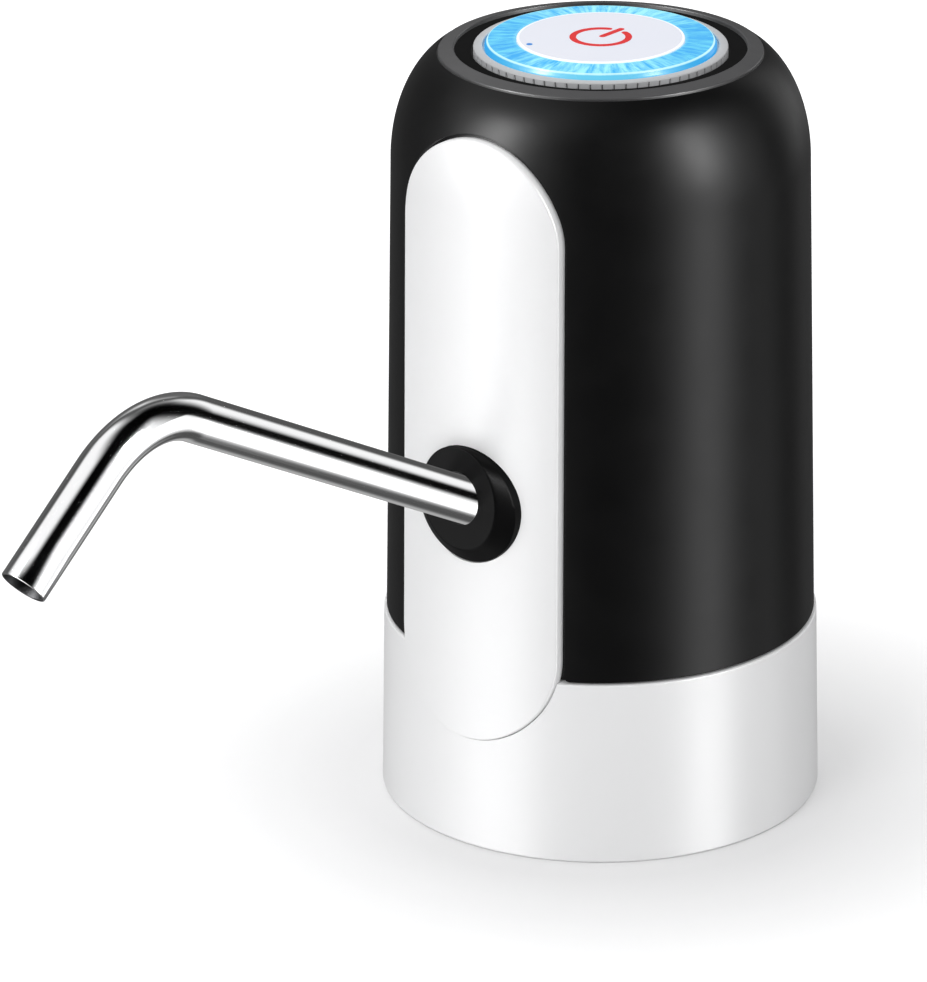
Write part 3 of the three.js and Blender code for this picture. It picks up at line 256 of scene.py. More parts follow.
def joinOn(piece, *shapes):
    boolean(piece, "UNION", shapes)


def faceOutwards(piece, weld=True):
    work = bmesh.new()
    work.from_mesh(piece.data)
    if weld:
        bmesh.ops.remove_doubles(work, verts=work.verts, dist=meshSizes.weld)
    bmesh.ops.recalc_face_normals(work, faces=work.faces)
    if work.calc_volume(signed=True) < 0:
        bmesh.ops.reverse_faces(work, faces=work.faces)
    work.to_mesh(piece.data)
    work.free()


def smoothed(piece, angle=32, weighted=True):
    piece.data.shade_smooth()
    piece.data.set_sharp_from_angle(angle=math.radians(angle))
    if weighted:
        modifier = piece.modifiers.new("weighted", "WEIGHTED_NORMAL")
        modifier.keep_sharp = True
        modifier.weight = 50
        applyModifiers(piece)


def trueNormals(piece, offsets):
    # faces that lie on the body's form get its own normals, so its gloss has no ripples
    smoothed(piece, weighted=False)
    mesh = piece.data
    normals = [Vector(n.vector) for n in mesh.corner_normals]
    onForm = []
    for vertex in mesh.vertices:
        radius, height = vertex.co.xy.length / mm, vertex.co.z / mm + rimDrop
        near = (o for o in offsets if abs(formRadius(height, o) - radius) < meshSizes.formPlay)
        onForm.append(next(near, None))
    for face in mesh.polygons:
        kinds = {onForm[i] for i in face.vertices}
        if len(kinds) == 1 and None not in kinds:
            offset = kinds.pop()
            for loop in face.loop_indices:
                point = mesh.vertices[mesh.loops[loop].vertex_index].co
                normals[loop] = formNormal(point, offset)
    mesh.normals_split_custom_set(normals)


# Nodes for the finishes

class Finish:
    def __init__(self, name, colour, roughness, **sockets):
        self.material = bpy.data.materials.new(name)
        self.material.use_nodes = True
        self.nodes = self.material.node_tree.nodes
        self.links = self.material.node_tree.links
        self.shader = self.nodes["Principled BSDF"]
        sockets.update(Base_Color=(*colour, 1), Roughness=roughness)
        for key, value in sockets.items():
            self.shader.inputs[key.replace("_", " ")].default_value = value
        self.place = self.node("ShaderNodeTexCoord").outputs["Object"]

    def node(self, kind, **values):
        made = self.nodes.new(kind)
        for key, value in values.items():
            if key in made.inputs:
                made.inputs[key].default_value = value
            else:
                setattr(made, key, value)
        return made

    def feed(self, socket, value):
        if isinstance(value, (int, float)):
            socket.default_value = value
        elif isinstance(value, tuple):
            socket.default_value = (*value, 1)
        else:
            self.links.new(value, socket)

    def math(self, operation, *values):
        made = self.node("ShaderNodeMath", operation=operation)
        for socket, value in zip(made.inputs, values):
            self.feed(socket, value)
        return made.outputs[0]

    def noise(self, scale, detail=2.0, rough=0.5, vector=None, stretch=None):
        made = self.node("ShaderNodeTexNoise", Scale=scale, Detail=detail, Roughness=rough)
        source = vector or self.place
        if stretch:
            mapping = self.node("ShaderNodeMapping", Scale=stretch)
            self.feed(mapping.inputs["Vector"], source)
            source = mapping.outputs["Vector"]
        self.feed(made.inputs["Vector"], source)
        return made.outputs["Fac"]

    def ramp(self, fac, *stops):
        made = self.node("ShaderNodeValToRGB")
        elements = made.color_ramp.elements
        for spot, (position, value) in enumerate(stops):
            element = elements[spot] if spot < 2 else elements.new(position)
            element.position = position
            element.color = (*value, 1) if isinstance(value, tuple) else (value, value, value, 1)
        self.feed(made.inputs["Fac"], fac)
        return made.outputs["Color"]

    def remap(self, value, fromLow, fromHigh, low, high):
        made = self.node("ShaderNodeMapRange")
        keys = ("Value", "From Min", "From Max", "To Min", "To Max")
        for key, given in zip(keys, (value, fromLow, fromHigh, low, high)):
            self.feed(made.inputs[key], given)
        return made.outputs["Result"]

    def between(self, fac, low, high):
        # most of a noise lies from 0.3 to 0.7
        return self.remap(fac, 0.3, 0.7, low, high)

    def mixed(self, fac, first, second):
        made = self.node("ShaderNodeMix", data_type="RGBA")
        for spot, value in ((0, fac), (6, first), (7, second)):
            self.feed(made.inputs[spot], value)
        return made.outputs[2]

    def set(self, socket, source):
        self.feed(self.shader.inputs[socket], source)

    def tint(self, noise, low, high):
        self.set("Base Color", self.mixed(self.between(self.noise(*noise), 0, 1), low, high))

    def gloss(self, noise, low, high):
        self.set("Roughness", self.between(self.noise(*noise), low, high))

    def bump(self, height, strength, distance, after=None):
        made = self.node("ShaderNodeBump", Strength=strength, Distance=distance)
        self.feed(made.inputs["Height"], height)
        if after:
            self.feed(made.inputs["Normal"], after)
        self.set("Normal", made.outputs["Normal"])
        return made.outputs["Normal"]

    def radial(self):
        # distance from the object's own upright axis, and its direction as a pair
        split = self.node("ShaderNodeSeparateXYZ")
        self.feed(split.inputs[0], self.place)
        x, y = split.outputs["X"], split.outputs["Y"]
        squares = self.math("ADD", self.math("MULTIPLY", x, x), self.math("MULTIPLY", y, y))
        across = self.math("SQRT", squares)
        return across, self.math("DIVIDE", x, across), self.math("DIVIDE", y, across)


def plainFinish(name, colour, roughness, tint, gloss, *textures, **sockets):
    # tint and gloss: noise, lowest, highest; each texture: noise, strength, depth in metres
    finish = Finish(name, colour, roughness, **sockets)
    finish.tint(*tint)
    if gloss:
        finish.gloss(*gloss)
    under = None
    for noise, strength, depth in textures:
        under = finish.bump(finish.noise(*noise), strength, depth, under)
    return finish.material


def mouldedFinish(name, colour, roughness, tone):
    # moulded plastic: cloudy tone, uneven gloss, fine texture and a faint sink over larger areas
    low, high = (tuple(min(c * (1 + change), 1) for c in colour) for change in (-tone, tone))
    return plainFinish(
        name, colour, roughness, ((38, 3, 0.55), low, high),
        ((95, 4, 0.6), roughness * 0.9, roughness * 1.1),
        ((70, 1), 0.12, 0.0002), ((2600, 2), 0.35, 0.00002),
    )


def coverFinish(name, roughness, specular):
    # satin black plastic with a very fine spark-eroded texture
    return plainFinish(
        name, (0.0022, 0.0022, 0.0024), roughness,
        ((30, 3, 0.5), (0.0018, 0.0018, 0.002), (0.0026, 0.0026, 0.0028)),
        ((140, 4, 0.6), roughness * 0.94, roughness * 1.06),
        ((5200, 2, 0.6), 0.3, 0.00001), Specular_IOR_Level=specular,
    )


def steelFinish():
    # drawn tube: fine lines along its length, read from the tube's own unrolled map
    finish = Finish("spoutSteel", (0.93, 0.932, 0.938), 0.1, Metallic=1.0)
    unrolled = finish.node("ShaderNodeUVMap", uv_map="unrolled").outputs["UV"]
    lines = finish.noise(1.0, 3, 0.6, unrolled, (1, 5, 1))
    finish.gloss((55, 3, 0.6), 0.085, 0.115)
    pale, dull = (0.915, 0.917, 0.923), (0.945, 0.947, 0.953)
    finish.set("Base Color", finish.mixed(finish.between(lines, 0, 1), pale, dull))
    finish.bump(lines, 0.05, 0.000003)
    return finish.material


def trimFinish():
    # satin ring with turned circles
    finish = Finish("trimGrey", (0.06, 0.06, 0.062), 0.34, Specular_IOR_Level=0.8)
    circles = finish.math("SINE", finish.math("MULTIPLY", finish.radial()[0], 26000))
    finish.gloss((300, 3), 0.3, 0.38)
    finish.tint((60, 3), (0.053, 0.053, 0.055), (0.067, 0.067, 0.069))
    fine = finish.bump(circles, 0.12, 0.00001)
    finish.bump(finish.noise(3000, 2), 0.2, 0.00001, fine)
    return finish.material


def glowFinish():
    # blue light ring: streaks that run outwards from the lights below, deeper blue on its bevel; a
    # painted sheen makes it paler on its near and far sides and deeper blue at its left and right
    finish = Finish("buttonBlue", (0.01, 0.08, 0.2), 0.25, Emission_Strength=0.86)
    across, eastward, northward = finish.radial()
    turn = finish.node("ShaderNodeCombineXYZ")
    for axis, source, scale in (("X", eastward, 5.2), ("Y", northward, 5.2), ("Z", across, 60)):
        finish.feed(turn.inputs[axis], finish.math("MULTIPLY", source, scale))
    streaks = finish.noise(3.4, 5, 0.62, turn.outputs[0])
    # a fixed direction toward the camera's side; its square is the painted sheen, paler at the near and
    # far sides
    cameraSideFacing = finish.math(
        "ADD", finish.math("MULTIPLY", eastward, 0.5), finish.math("MULTIPLY", northward, -0.866)
    )
    paintedSheenMask = finish.math("MULTIPLY", cameraSideFacing, cameraSideFacing)
    outwards = finish.remap(across, 0.01365, 0.0187, 0, 1)
    sides = finish.mixed(finish.remap(streaks, 0.38, 0.66, 0, 1), (0.05, 0.41, 0.9), (0.18, 0.74, 0.95))
    ends = finish.mixed(finish.remap(streaks, 0.34, 0.6, 0, 1), (0.06, 0.5, 0.95), (0.4, 0.96, 1.0))
    streaksAndPaintedSheen = finish.mixed(finish.remap(paintedSheenMask, 0.2, 0.85, 0, 1), sides, ends)
    lit = finish.mixed(finish.ramp(outwards, (0.0, 0.55), (0.12, 0.0)), streaksAndPaintedSheen, (0.3, 0.8, 1.0))
    bevel = finish.mixed(paintedSheenMask, (0.01, 0.36, 0.82), (0.16, 0.64, 0.88))
    lit = finish.mixed(finish.ramp(outwards, (0.93, 0.0), (0.945, 1.0)), lit, bevel)
    line = finish.ramp(outwards, (0.875, 0.0), (0.9, 1.0), (0.925, 1.0), (0.945, 0.0))
    lit = finish.mixed(line, lit, (0.62, 1.0, 1.0))
    finish.set("Emission Color", lit)
    finish.set("Base Color", finish.mixed(0.9, lit, (0.0, 0.02, 0.06)))
    finish.gloss((240, 2), 0.2, 0.3)
    finish.bump(streaks, 0.12, 0.00006)
    return finish.material


def frostFinish():
    # frosted rim that passes a little of the ring's light at its inner edge
    finish = Finish("buttonFrost", (0.45, 0.455, 0.465), 0.5, Emission_Strength=0.05)
    outwards = finish.remap(finish.radial()[0], 0.0188, 0.0206, 0, 1)
    stops = ((0.0, (0.5, 0.62, 0.68)), (0.3, (0.5, 0.505, 0.515)), (1.0, (0.41, 0.415, 0.425)))
    near = finish.ramp(outwards, *stops)
    cloud = finish.between(finish.noise(220, 3), 0, 0.3)
    finish.set("Base Color", finish.mixed(cloud, near, (0.4, 0.405, 0.42)))
    finish.set("Emission Color", near)
    finish.gloss((400, 3), 0.42, 0.58)
    finish.bump(finish.noise(2400, 2), 0.2, 0.00001)
    return finish.material


def discFinish():
    # cool white face with a lit outline
    finish = Finish("buttonWhite", (0.78, 0.8, 0.87), 0.3, Emission_Strength=0.3)
    outwards = finish.remap(finish.radial()[0], 0.0, 0.01365, 0, 1)
    outline = finish.ramp(outwards, (0.0, 0.0), (0.955, 0.0), (0.97, 1.0), (1.0, 1.0))
    finish.tint((60, 3, 0.5), (0.77, 0.79, 0.865), (0.79, 0.806, 0.875))
    finish.set("Emission Color", finish.mixed(outline, (0.1, 0.105, 0.13), (1.0, 1.0, 1.0)))
    finish.gloss((40, 1), 0.3, 0.33)
    finish.bump(finish.noise(3000, 1), 0.05, 0.000005)
    return finish.material


def markFinish(name, colour):
    # printed ink: slightly uneven cover
    tint = ((900, 4, 0.6), tuple(c * 0.92 for c in colour), colour)
    texture = ((1800, 2), 0.15, 0.00001)
    return plainFinish(name, colour, 0.4, tint, None, texture, Specular_IOR_Level=0.3)


def boardFinish():
    # solder mask with copper runs and pads under it
    finish = Finish("boardGreen", (0.02, 0.14, 0.06), 0.3)
    runs = finish.node("ShaderNodeTexBrick", Scale=520.0, offset=0.37)
    runs.inputs["Mortar Size"].default_value = 0.09
    finish.feed(runs.inputs["Vector"], finish.place)
    lane = finish.mixed(runs.outputs["Fac"], (0.016, 0.12, 0.05), (0.035, 0.23, 0.09))
    pads = finish.node("ShaderNodeTexVoronoi", Scale=420.0)
    finish.feed(pads.inputs["Vector"], finish.place)
    dot = finish.ramp(pads.outputs["Distance"], (0.0, 1.0), (0.16, 1.0), (0.2, 0.0))
    finish.set("Base Color", finish.mixed(dot, lane, (0.62, 0.6, 0.52)))
    finish.gloss((300, 3), 0.24, 0.38)
    finish.bump(runs.outputs["Fac"], 0.25, 0.00003)
    return finish.material


creases = (14, 5, 0.6, None, (30, 30, 3))
finishes = {
    "cover_black": coverFinish("coverBlack", 0.37, 0.25),
    # glossy white plastic, its gloss a little uneven
    "shell_white": plainFinish(
        "shellWhite", (0.865, 0.867, 0.873), 0.36,
        ((14, 1, 0.4), (0.859, 0.861, 0.867), (0.871, 0.873, 0.878)), ((90, 2, 0.5), 0.345, 0.375),
        ((900, 1), 0.04, 0.00001), Specular_IOR_Level=1.0, IOR=1.55,
    ),
    "trim_grey": trimFinish(),
    "spout_steel": steelFinish(),
    # zinc plate: cloudy grain, scuffs
    "plated_steel": plainFinish(
        "platedSteel", (0.5, 0.505, 0.515), 0.34,
        ((120, 4), (0.42, 0.425, 0.435), (0.58, 0.585, 0.6)), ((900, 4, 0.65), 0.26, 0.44),
        ((60, 2, 0.5, None, (40, 40, 1)), 0.12, 0.00001), Metallic=1.0,
    ),
    # dusty black rubber
    "seal_rubber": plainFinish(
        "sealRubber", (0.018, 0.018, 0.019), 0.62,
        ((700, 5, 0.65), (0.018, 0.018, 0.019), (0.0323, 0.0323, 0.03365)),
        ((160, 3), 0.5456, 0.6696), ((1900, 3), 0.3, 0.00002),
    ),
    "silicone": plainFinish(
        "siliconeMilky", (0.62, 0.65, 0.67), 0.38,
        ((80, 3), (0.58, 0.615, 0.635), (0.66, 0.685, 0.7)), ((200, 3), 0.33, 0.45),
        ((1400, 2), 0.2, 0.00002), Subsurface_Weight=0.25, Subsurface_Scale=0.002,
    ),
    "button_blue": glowFinish(),
    "button_frost": frostFinish(),
    "button_white": discFinish(),
    "inner_plastic": mouldedFinish("innerPlastic", (0.75, 0.73, 0.67), 0.44, 0.03),
    "inner_black": mouldedFinish("innerBlack", (0.02, 0.02, 0.02), 0.5, 0.15),
    "board_green": boardFinish(),
    # shrink wrap: gloss film with fine creases
    "cell_wrap": plainFinish(
        "cellWrap", (0.03, 0.16, 0.45), 0.22,
        ((50, 3), (0.026, 0.145, 0.42), (0.036, 0.18, 0.49)), (creases, 0.17, 0.3),
        (creases, 0.2, 0.00005), Coat_Weight=0.3, Coat_Roughness=0.1,
    ),
}
redInk = markFinish("symbolRed", (0.76, 0.03, 0.032))
blueInk = markFinish("dotBlue", (0.04, 0.26, 0.72))
# inside of the tube: dull, drawn steel, its dark tone a painted shade of the tube's hollow
boreShadeFinish = plainFinish(
    "pipeBoreShade", (0.06, 0.06, 0.062), 0.5,
    ((260, 4), (0.045, 0.045, 0.047), (0.075, 0.075, 0.077)), ((500, 3), 0.42, 0.58),
    ((1500, 2), 0.2, 0.00001), Metallic=1.0, Specular_IOR_Level=0.2,
)
print("finishes ready:", len(finishes) + 3)

for sub in frame["record"]["subparts"]:
    carried = frame["nodes"][sub["node"]]
    if not carried.material_slots:
        carried.data.materials.append(None)
    for materialSlot in carried.material_slots:
        materialSlot.material = finishes[sub["material_slot"]]


# The body's outside form: a slight taper, then a quarter ellipse cut short at the rim

bodyForm = Sizes(
    baseRadius=36.5, taper=2.1, shoulderHeight=109.0, shoulderReach=12.0, shoulderRise=19.5,
    rimRadius=26.8, sides=288, shoulderSteps=44, straightStep=6, halvings=26,
)
ellipseCentre = bodyForm.baseRadius - bodyForm.taper - bodyForm.shoulderReach
lastAngle = math.acos((bodyForm.rimRadius - ellipseCentre) / bodyForm.shoulderReach)
slope = bodyForm.taper / bodyForm.shoulderHeight


def ellipsePoint(angle, offset):
    across, up = math.cos(angle), math.sin(angle)
    normal = Vector((across / bodyForm.shoulderReach, up / bodyForm.shoulderRise)).normalized()
    point = Vector((
        ellipseCentre + bodyForm.shoulderReach * across,
        bodyForm.shoulderHeight + bodyForm.shoulderRise * up,
    ))
    return point + normal * offset, normal


def ellipseAngle(height, offset):
    low, high = 0.0, math.pi / 2
    for step in range(bodyForm.halvings):
        middle = (low + high) / 2
        if ellipsePoint(middle, offset)[0].y < height:
            low = middle
        else:
            high = middle
    return low


def formRadius(height, offset):
    if height <= bodyForm.shoulderHeight:
        return bodyForm.baseRadius - bodyForm.taper * height / bodyForm.shoulderHeight + offset
    return ellipsePoint(ellipseAngle(height, offset), offset)[0].x


def formNormal(point, offset):
    height = point.z / mm + rimDrop
    across, up = 1.0, slope
    if height > bodyForm.shoulderHeight:
        across, up = ellipsePoint(ellipseAngle(height, offset), offset)[1]
        up = max(up, slope)
    flat = Vector((point.x, point.y, 0)).normalized() * across
    return Vector((flat.x, flat.y, up)).normalized()


def onForm(x, height, offset):
    radius = formRadius(height, offset)
    return place(x, -math.sqrt(max(radius * radius - x * x, 0.0)), height)


def formOutline(low, offset, steps):
    straight = max(1, int((bodyForm.shoulderHeight - low) / bodyForm.straightStep))
    heights = [low + (bodyForm.shoulderHeight - low) * k / straight for k in range(straight)]
    curve = [ellipsePoint(lastAngle * k / steps, offset)[0] for k in range(steps + 1)]
    return [(formRadius(height, offset), height) for height in heights] + [tuple(p) for p in curve]


# White panel and the pocket it lies in

panelSizes = Sizes(
    halfWidth=15.75, low=19.1, high=120.15, thickness=1.7, proud=0.5,
    gap=0.55, skirtGap=0.16, floorGap=0.3,
    narrowing=0.3,  # from the panel's foot to its head, each side
    lean=-0.3, offCentre=-0.1, edgeRound=0.32, arcSteps=72, sideSteps=40,
    pegRadius=1.2, pegLength=2.6, pegAcross=10.0, pegInset=22.0, pegSunk=0.8, pegSides=24,
    collarHole=9.85, collarHeight=59.8, barrelStart=-20, barrelEnd=-42,
    pocketEdge=0.16,  # rounding where the pocket meets the cover's surface
    pocketClear=3,
)
panelBack = panelSizes.proud - panelSizes.thickness
pocketFloor = panelBack - panelSizes.floorGap


def stadiumLoop(inset):
    sizes = panelSizes
    half = sizes.halfWidth
    top, bottom = sizes.high - half, sizes.low + half
    reach = half - inset
    loop = []
    for side, start, end in ((1, top, bottom), (-1, bottom, top)):
        for x, y in arc(sizes.arcSteps, (1 - side) * math.pi / 2, math.pi, 0):
            loop.append((reach * x, start + reach * y))
        for k in range(sizes.sideSteps):
            loop.append((-side * reach, start + (end - start) * k / sizes.sideSteps))
    shaped = []
    for x, height in loop:
        share = (height - sizes.low) / (sizes.high - sizes.low)
        width = (half - sizes.narrowing * share) / half
        shaped.append((x * width + sizes.offCentre + sizes.lean * share, height))
    return shaped


def stadiumShape(sheets):
    # sheets: (inset, offset) from the back's middle line round the edge to the front's middle line
    rings = [[onForm(x, height, offset) for x, height in stadiumLoop(inset)] for inset, offset in sheets]
    return loftShape(rings, closed=False)


def panelShape():
    half, edge, front = panelSizes.halfWidth, panelSizes.edgeRound, panelSizes.proud
    sheets = [(d, panelBack) for d in (half, 15, 13, 10, 7, 4, 2, 0.6, 0.15)]
    sheets += [(0, panelBack + 0.15), (0, front - edge)]
    sheets += [(edge - edge * x, front - edge + edge * y) for x, y in arc(6)]
    sheets += [(d, front) for d in (0.6, 1.2, 2, 4, 7, 10, 13, 15, half)]
    return stadiumShape(sheets)


def pocketShape(surface, gap):
    # surface: offset of the face that the pocket is cut into, whose edge gets a small round
    half, edge, above = panelSizes.halfWidth, panelSizes.pocketEdge, surface + panelSizes.pocketClear
    sheets = [(d, pocketFloor) for d in (half, 13, 8, 3)] + [(-gap, pocketFloor), (-gap, surface - edge)]
    sheets += [(-gap - edge + edge * x, surface - edge + edge * y) for x, y in arc(4)]
    sheets += [(-gap - edge * 1.2, surface + 0.05), (-gap - edge * 1.2, above)]
    sheets += [(d, above) for d in (3, 8, 13, half)]
    return stadiumShape(sheets)


def panelPegs(radius, length):
    sizes = panelSizes
    shapes = []
    for height in (sizes.low + sizes.pegInset, sizes.high - sizes.pegInset):
        for x in (-sizes.pegAcross, sizes.pegAcross):
            start = math.sqrt(formRadius(height, panelBack + sizes.pegSunk) ** 2 - x * x)
            end = place(x, -start + sizes.pegSunk + length, height)
            shapes.append(rodShape(radius, place(x, -start, height), end, sizes.pegSides))
    return shapes


def collarBarrel(radius, count=160):
    ends = [place(0, y, panelSizes.collarHeight) for y in (panelSizes.barrelStart, panelSizes.barrelEnd)]
    return rodShape(radius, *ends, count)


frontPanel = addShell("front_panel_shell", panelShape(), "shell_white", "front_panel")
joinOn(frontPanel, *panelPegs(panelSizes.pegRadius, panelSizes.pegLength))
cutAway(frontPanel, collarBarrel(panelSizes.collarHole))
trueNormals(frontPanel, [panelSizes.proud, panelBack])
print("front panel done")


# White skirt with its deck and ribs

skirtSizes = Sizes(
    height=31.1, wall=2.4, deckLow=24.0, deckTop=27.0, padRelief=0.5, padRadius=27.4,
    footRound=0.55, seamRound=0.3, stations=(15, 25),
    ribCount=8, ribThickness=1.4, ribFoot=4.0, ribInner=29.2, ribTop=25.5,
    holeLow=22, holeHigh=29, screwHole=1.4, inletHole=3.1, inletX=9.67, inletY=5.85,
)
screwNodes = ("deck_screw_1", "deck_screw_2", "deck_screw_3", "deck_screw_4")
screwSpots = [middleOf(node) for node in screwNodes]


def skirtShape():
    sizes = skirtSizes
    recess = sizes.deckLow + sizes.padRelief
    corners = [
        (0, sizes.deckLow, 0),
        (sizes.padRadius, sizes.deckLow, 0.2),
        (sizes.padRadius, recess, 0.1),
        (formRadius(recess, -sizes.wall), recess, 0.8),
        (formRadius(0, -sizes.wall), 0, 0.25),
        (formRadius(0, 0), 0, sizes.footRound),
        *[(formRadius(height, 0), height, 0) for height in sizes.stations],
        (formRadius(sizes.height, 0), sizes.height, sizes.seamRound),
        (formRadius(sizes.height, -sizes.wall), sizes.height, 0.15),
        (formRadius(sizes.deckTop, -sizes.wall), sizes.deckTop, 0.3),
        (0, sizes.deckTop, 0),
    ]
    return turnedShape(rounded(corners, 6), bodyForm.sides)


def skirtRib(turn):
    sizes = skirtSizes
    outer, half = formRadius(sizes.deckLow, -sizes.wall / 2), sizes.ribThickness / 2
    points, faces = blockShape((sizes.ribInner, -half, sizes.ribFoot), (outer, half, sizes.ribTop))
    return [Vector((*spun(p.x, p.y, turn), p.z)) for p in points], faces


skirt = addShell("base_skirt_shell", skirtShape(), "shell_white", "base_skirt")
ribTurns = [2 * math.pi * (k + 0.5) / skirtSizes.ribCount for k in range(skirtSizes.ribCount)]
joinOn(skirt, together(*[skirtRib(turn) for turn in ribTurns]))
cutAway(skirt, pocketShape(0.0, panelSizes.skirtGap))
inletSpot = (skirtSizes.inletX, skirtSizes.inletY)
deckHoles = ((skirtSizes.screwHole, screwSpots, 32), (skirtSizes.inletHole, [inletSpot], 48))
cutAway(skirt, together(*[
    uprightRods(radius, spots, skirtSizes.holeLow, skirtSizes.holeHigh, count)
    for radius, spots, count in deckHoles
]))
trueNormals(skirt, [0.0])
print("skirt done")


# Black cover

coverSizes = Sizes(
    inset=0.4, wall=2.2, low=31.35, lipLow=27.3, lipTop=34.75, lipGap=0.3, lipWall=1.5, lipBlend=1.5,
    seat=122.984, seatRadius=26.35, mouthRadius=25.0, mouthThickness=1.8,
    seamRound=0.28, rimRound=0.14,
    cornerRadius=1.0, cornerClear=0.5, cornerDrop=1.5, collarHole=10.0, holeSides=96,
    portHeight=40.0, portHalfWidth=4.8, portHalfHeight=2.5, lightHeight=48.5, lightHole=1.5,
    backEdge=0.18,  # rounding of the two openings at the back
    slotDepth=-6.0, slotClear=2.0, pegPlay=0.3, pegDeeper=0.6,
)
lipRadius = formRadius(skirtSizes.height, 0) - skirtSizes.wall - coverSizes.lipGap
lipInner = lipRadius - coverSizes.lipWall


def coverShape():
    sizes = coverSizes
    inset, wall = -sizes.inset, -sizes.inset - sizes.wall
    outside = formOutline(sizes.low, inset, bodyForm.shoulderSteps)
    mouthLow = sizes.seat - sizes.mouthThickness
    inside = [p for p in formOutline(sizes.lipTop + sizes.lipBlend, wall, 16) if p[1] < mouthLow - 1]
    corners = [
        (lipRadius, sizes.lipLow, 0.3),
        (lipRadius, sizes.low, 0.1),
        (*outside[0], sizes.seamRound),
        *[(*p, 0) for p in outside[1:-1]],
        (*outside[-1], sizes.rimRound),
        (sizes.seatRadius, outside[-1][1], 0.12),
        (sizes.seatRadius, sizes.seat, 0),
        (sizes.mouthRadius, sizes.seat, 0.1),
        (sizes.mouthRadius, mouthLow, 0.1),
        (formRadius(mouthLow, wall), mouthLow, 0.3),
        *[(*p, 0) for p in reversed(inside)],
        (lipInner, sizes.lipTop, 0.4),
        (lipInner, sizes.lipLow, 0.3),
    ]
    return turnedShape(rounded(corners, 5), bodyForm.sides)


def cornerTool(side):
    # rounds the cover's lower corner beside the panel
    edge = panelSizes.halfWidth + panelSizes.gap + side * panelSizes.offCentre
    radius, low, near = coverSizes.cornerRadius, coverSizes.low, edge - coverSizes.cornerClear
    reach, foot = edge + radius, low - coverSizes.cornerDrop
    outline = [(near, foot), (reach, foot), (reach, low)]
    for x, y in arc(8, -math.pi / 2, -math.pi / 2):
        outline.append((reach + radius * x, low + radius + radius * y))
    outline.append((near, low + radius))
    return loftShape([
        [onForm(side * x, height, offset) for x, height in outline]
        for offset in (pocketFloor, panelSizes.pocketClear)
    ])


def backSlot(halfWidth, halfHeight, height, steps=14):
    # upright slot cut inwards at the back, its mouth slightly flared
    edge, radius = coverSizes.backEdge, formRadius(height, -coverSizes.inset)
    stations = [
        (0, coverSizes.slotDepth), (0, -edge), (edge * 0.3, -edge * 0.3), (edge, 0.0),
        (edge * 1.1, coverSizes.slotClear),
    ]
    rings = []
    for grow, depth in stations:
        half, tall = halfWidth + grow, halfHeight + grow
        loop = []
        ends = steps + 1 if half > tall + 0.01 else steps
        for side in (1, -1):
            for k in range(ends):
                angle = -side * math.pi / 2 + math.pi * k / steps
                x = side * (half - tall) + tall * math.cos(angle)
                loop.append((x, height + tall * math.sin(angle)))
        rings.append([place(x, math.sqrt((radius + depth) ** 2 - x * x), h) for x, h in loop])
    return loftShape(rings)


cover = addShell("outer_cover_shell", coverShape(), "cover_black", "outer_cover")
pegHoles = panelPegs(
    panelSizes.pegRadius + coverSizes.pegPlay,
    panelSizes.pegLength + coverSizes.pegDeeper,
)
cutAway(
    cover,
    pocketShape(-coverSizes.inset, panelSizes.gap),
    cornerTool(1),
    cornerTool(-1),
    collarBarrel(coverSizes.collarHole, coverSizes.holeSides),
    backSlot(coverSizes.portHalfWidth, coverSizes.portHalfHeight, coverSizes.portHeight),
    backSlot(coverSizes.lightHole, coverSizes.lightHole, coverSizes.lightHeight),
    together(*pegHoles),
)
trueNormals(cover, [-coverSizes.inset])
print("cover done")


# Collar of the spout, the pipe and what seals it

spoutSizes = Sizes(
    height=60.1, rise=math.radians(27.4), turned=math.radians(5.5), bend=math.radians(69.2),
    bendRadius=18.2, bendSteps=56,
    bendSqueeze=0.05,  # a bent tube goes slightly oval
    radius=3.77, wall=0.5, firstLeg=88.6, secondLeg=33.5, insertion=16.5, around=96,
    endRound=0.14, endSteps=8,
)
spoutRadius = formRadius(spoutSizes.height, 0)


def fromSpout(x, y, z):
    # a place given along and across the spout's own axis
    across, up = spun(y, z, math.pi / 2 - spoutSizes.rise)
    return place(x, -spoutRadius + across, spoutSizes.height + up)


def swivelled(x, y, z):
    return fromSpout(*spun(x, y, -spoutSizes.turned), z)


collarSizes = Sizes(
    baseRadius=9.7, baseDrop=0.3, faceHalfWidth=7.4, faceHalfHeight=8.75, projection=2.4,
    innerFace=3.3, edgeRound=0.28, shrink=0.55, around=128, flankSteps=7,
    borePlay=0.25, boreEnds=(-10.0, 12.0), boreSides=96,
)


def collarShape():
    sizes = collarSizes
    front = -spoutRadius - panelSizes.proud
    centre = spoutSizes.height - sizes.baseDrop
    rise = (panelSizes.proud + sizes.projection) * math.tan(spoutSizes.rise) + sizes.baseDrop
    base, wide, tall = sizes.baseRadius, sizes.faceHalfWidth, sizes.faceHalfHeight
    edge = sizes.edgeRound / sizes.projection
    # stations from the back to the front: share of the way to the face, place outwards, shrinking
    stations = [(0.0, sizes.innerFace - spoutRadius, 0.0), (0.0, front, 0.0)]
    for k in range(1, sizes.flankSteps):
        share = k / sizes.flankSteps * (1 - edge)
        stations.append((share, front - sizes.projection * share, 0.0))
    for x, y in arc(sizes.flankSteps):
        share = 1 - edge + edge * y
        shrink = sizes.edgeRound * sizes.shrink * (1 - x)
        stations.append((share, front - sizes.projection * share, shrink))
    rings, loop = [], circle(sizes.around)
    for share, y, shrink in stations:
        halfWidth = base + (wide - base) * share - shrink
        halfHeight = base + (tall - base) * share - shrink
        middle = centre + rise * share
        rings.append([place(halfWidth * x, y, middle + halfHeight * z) for x, z in loop])
    return loftShape(rings)


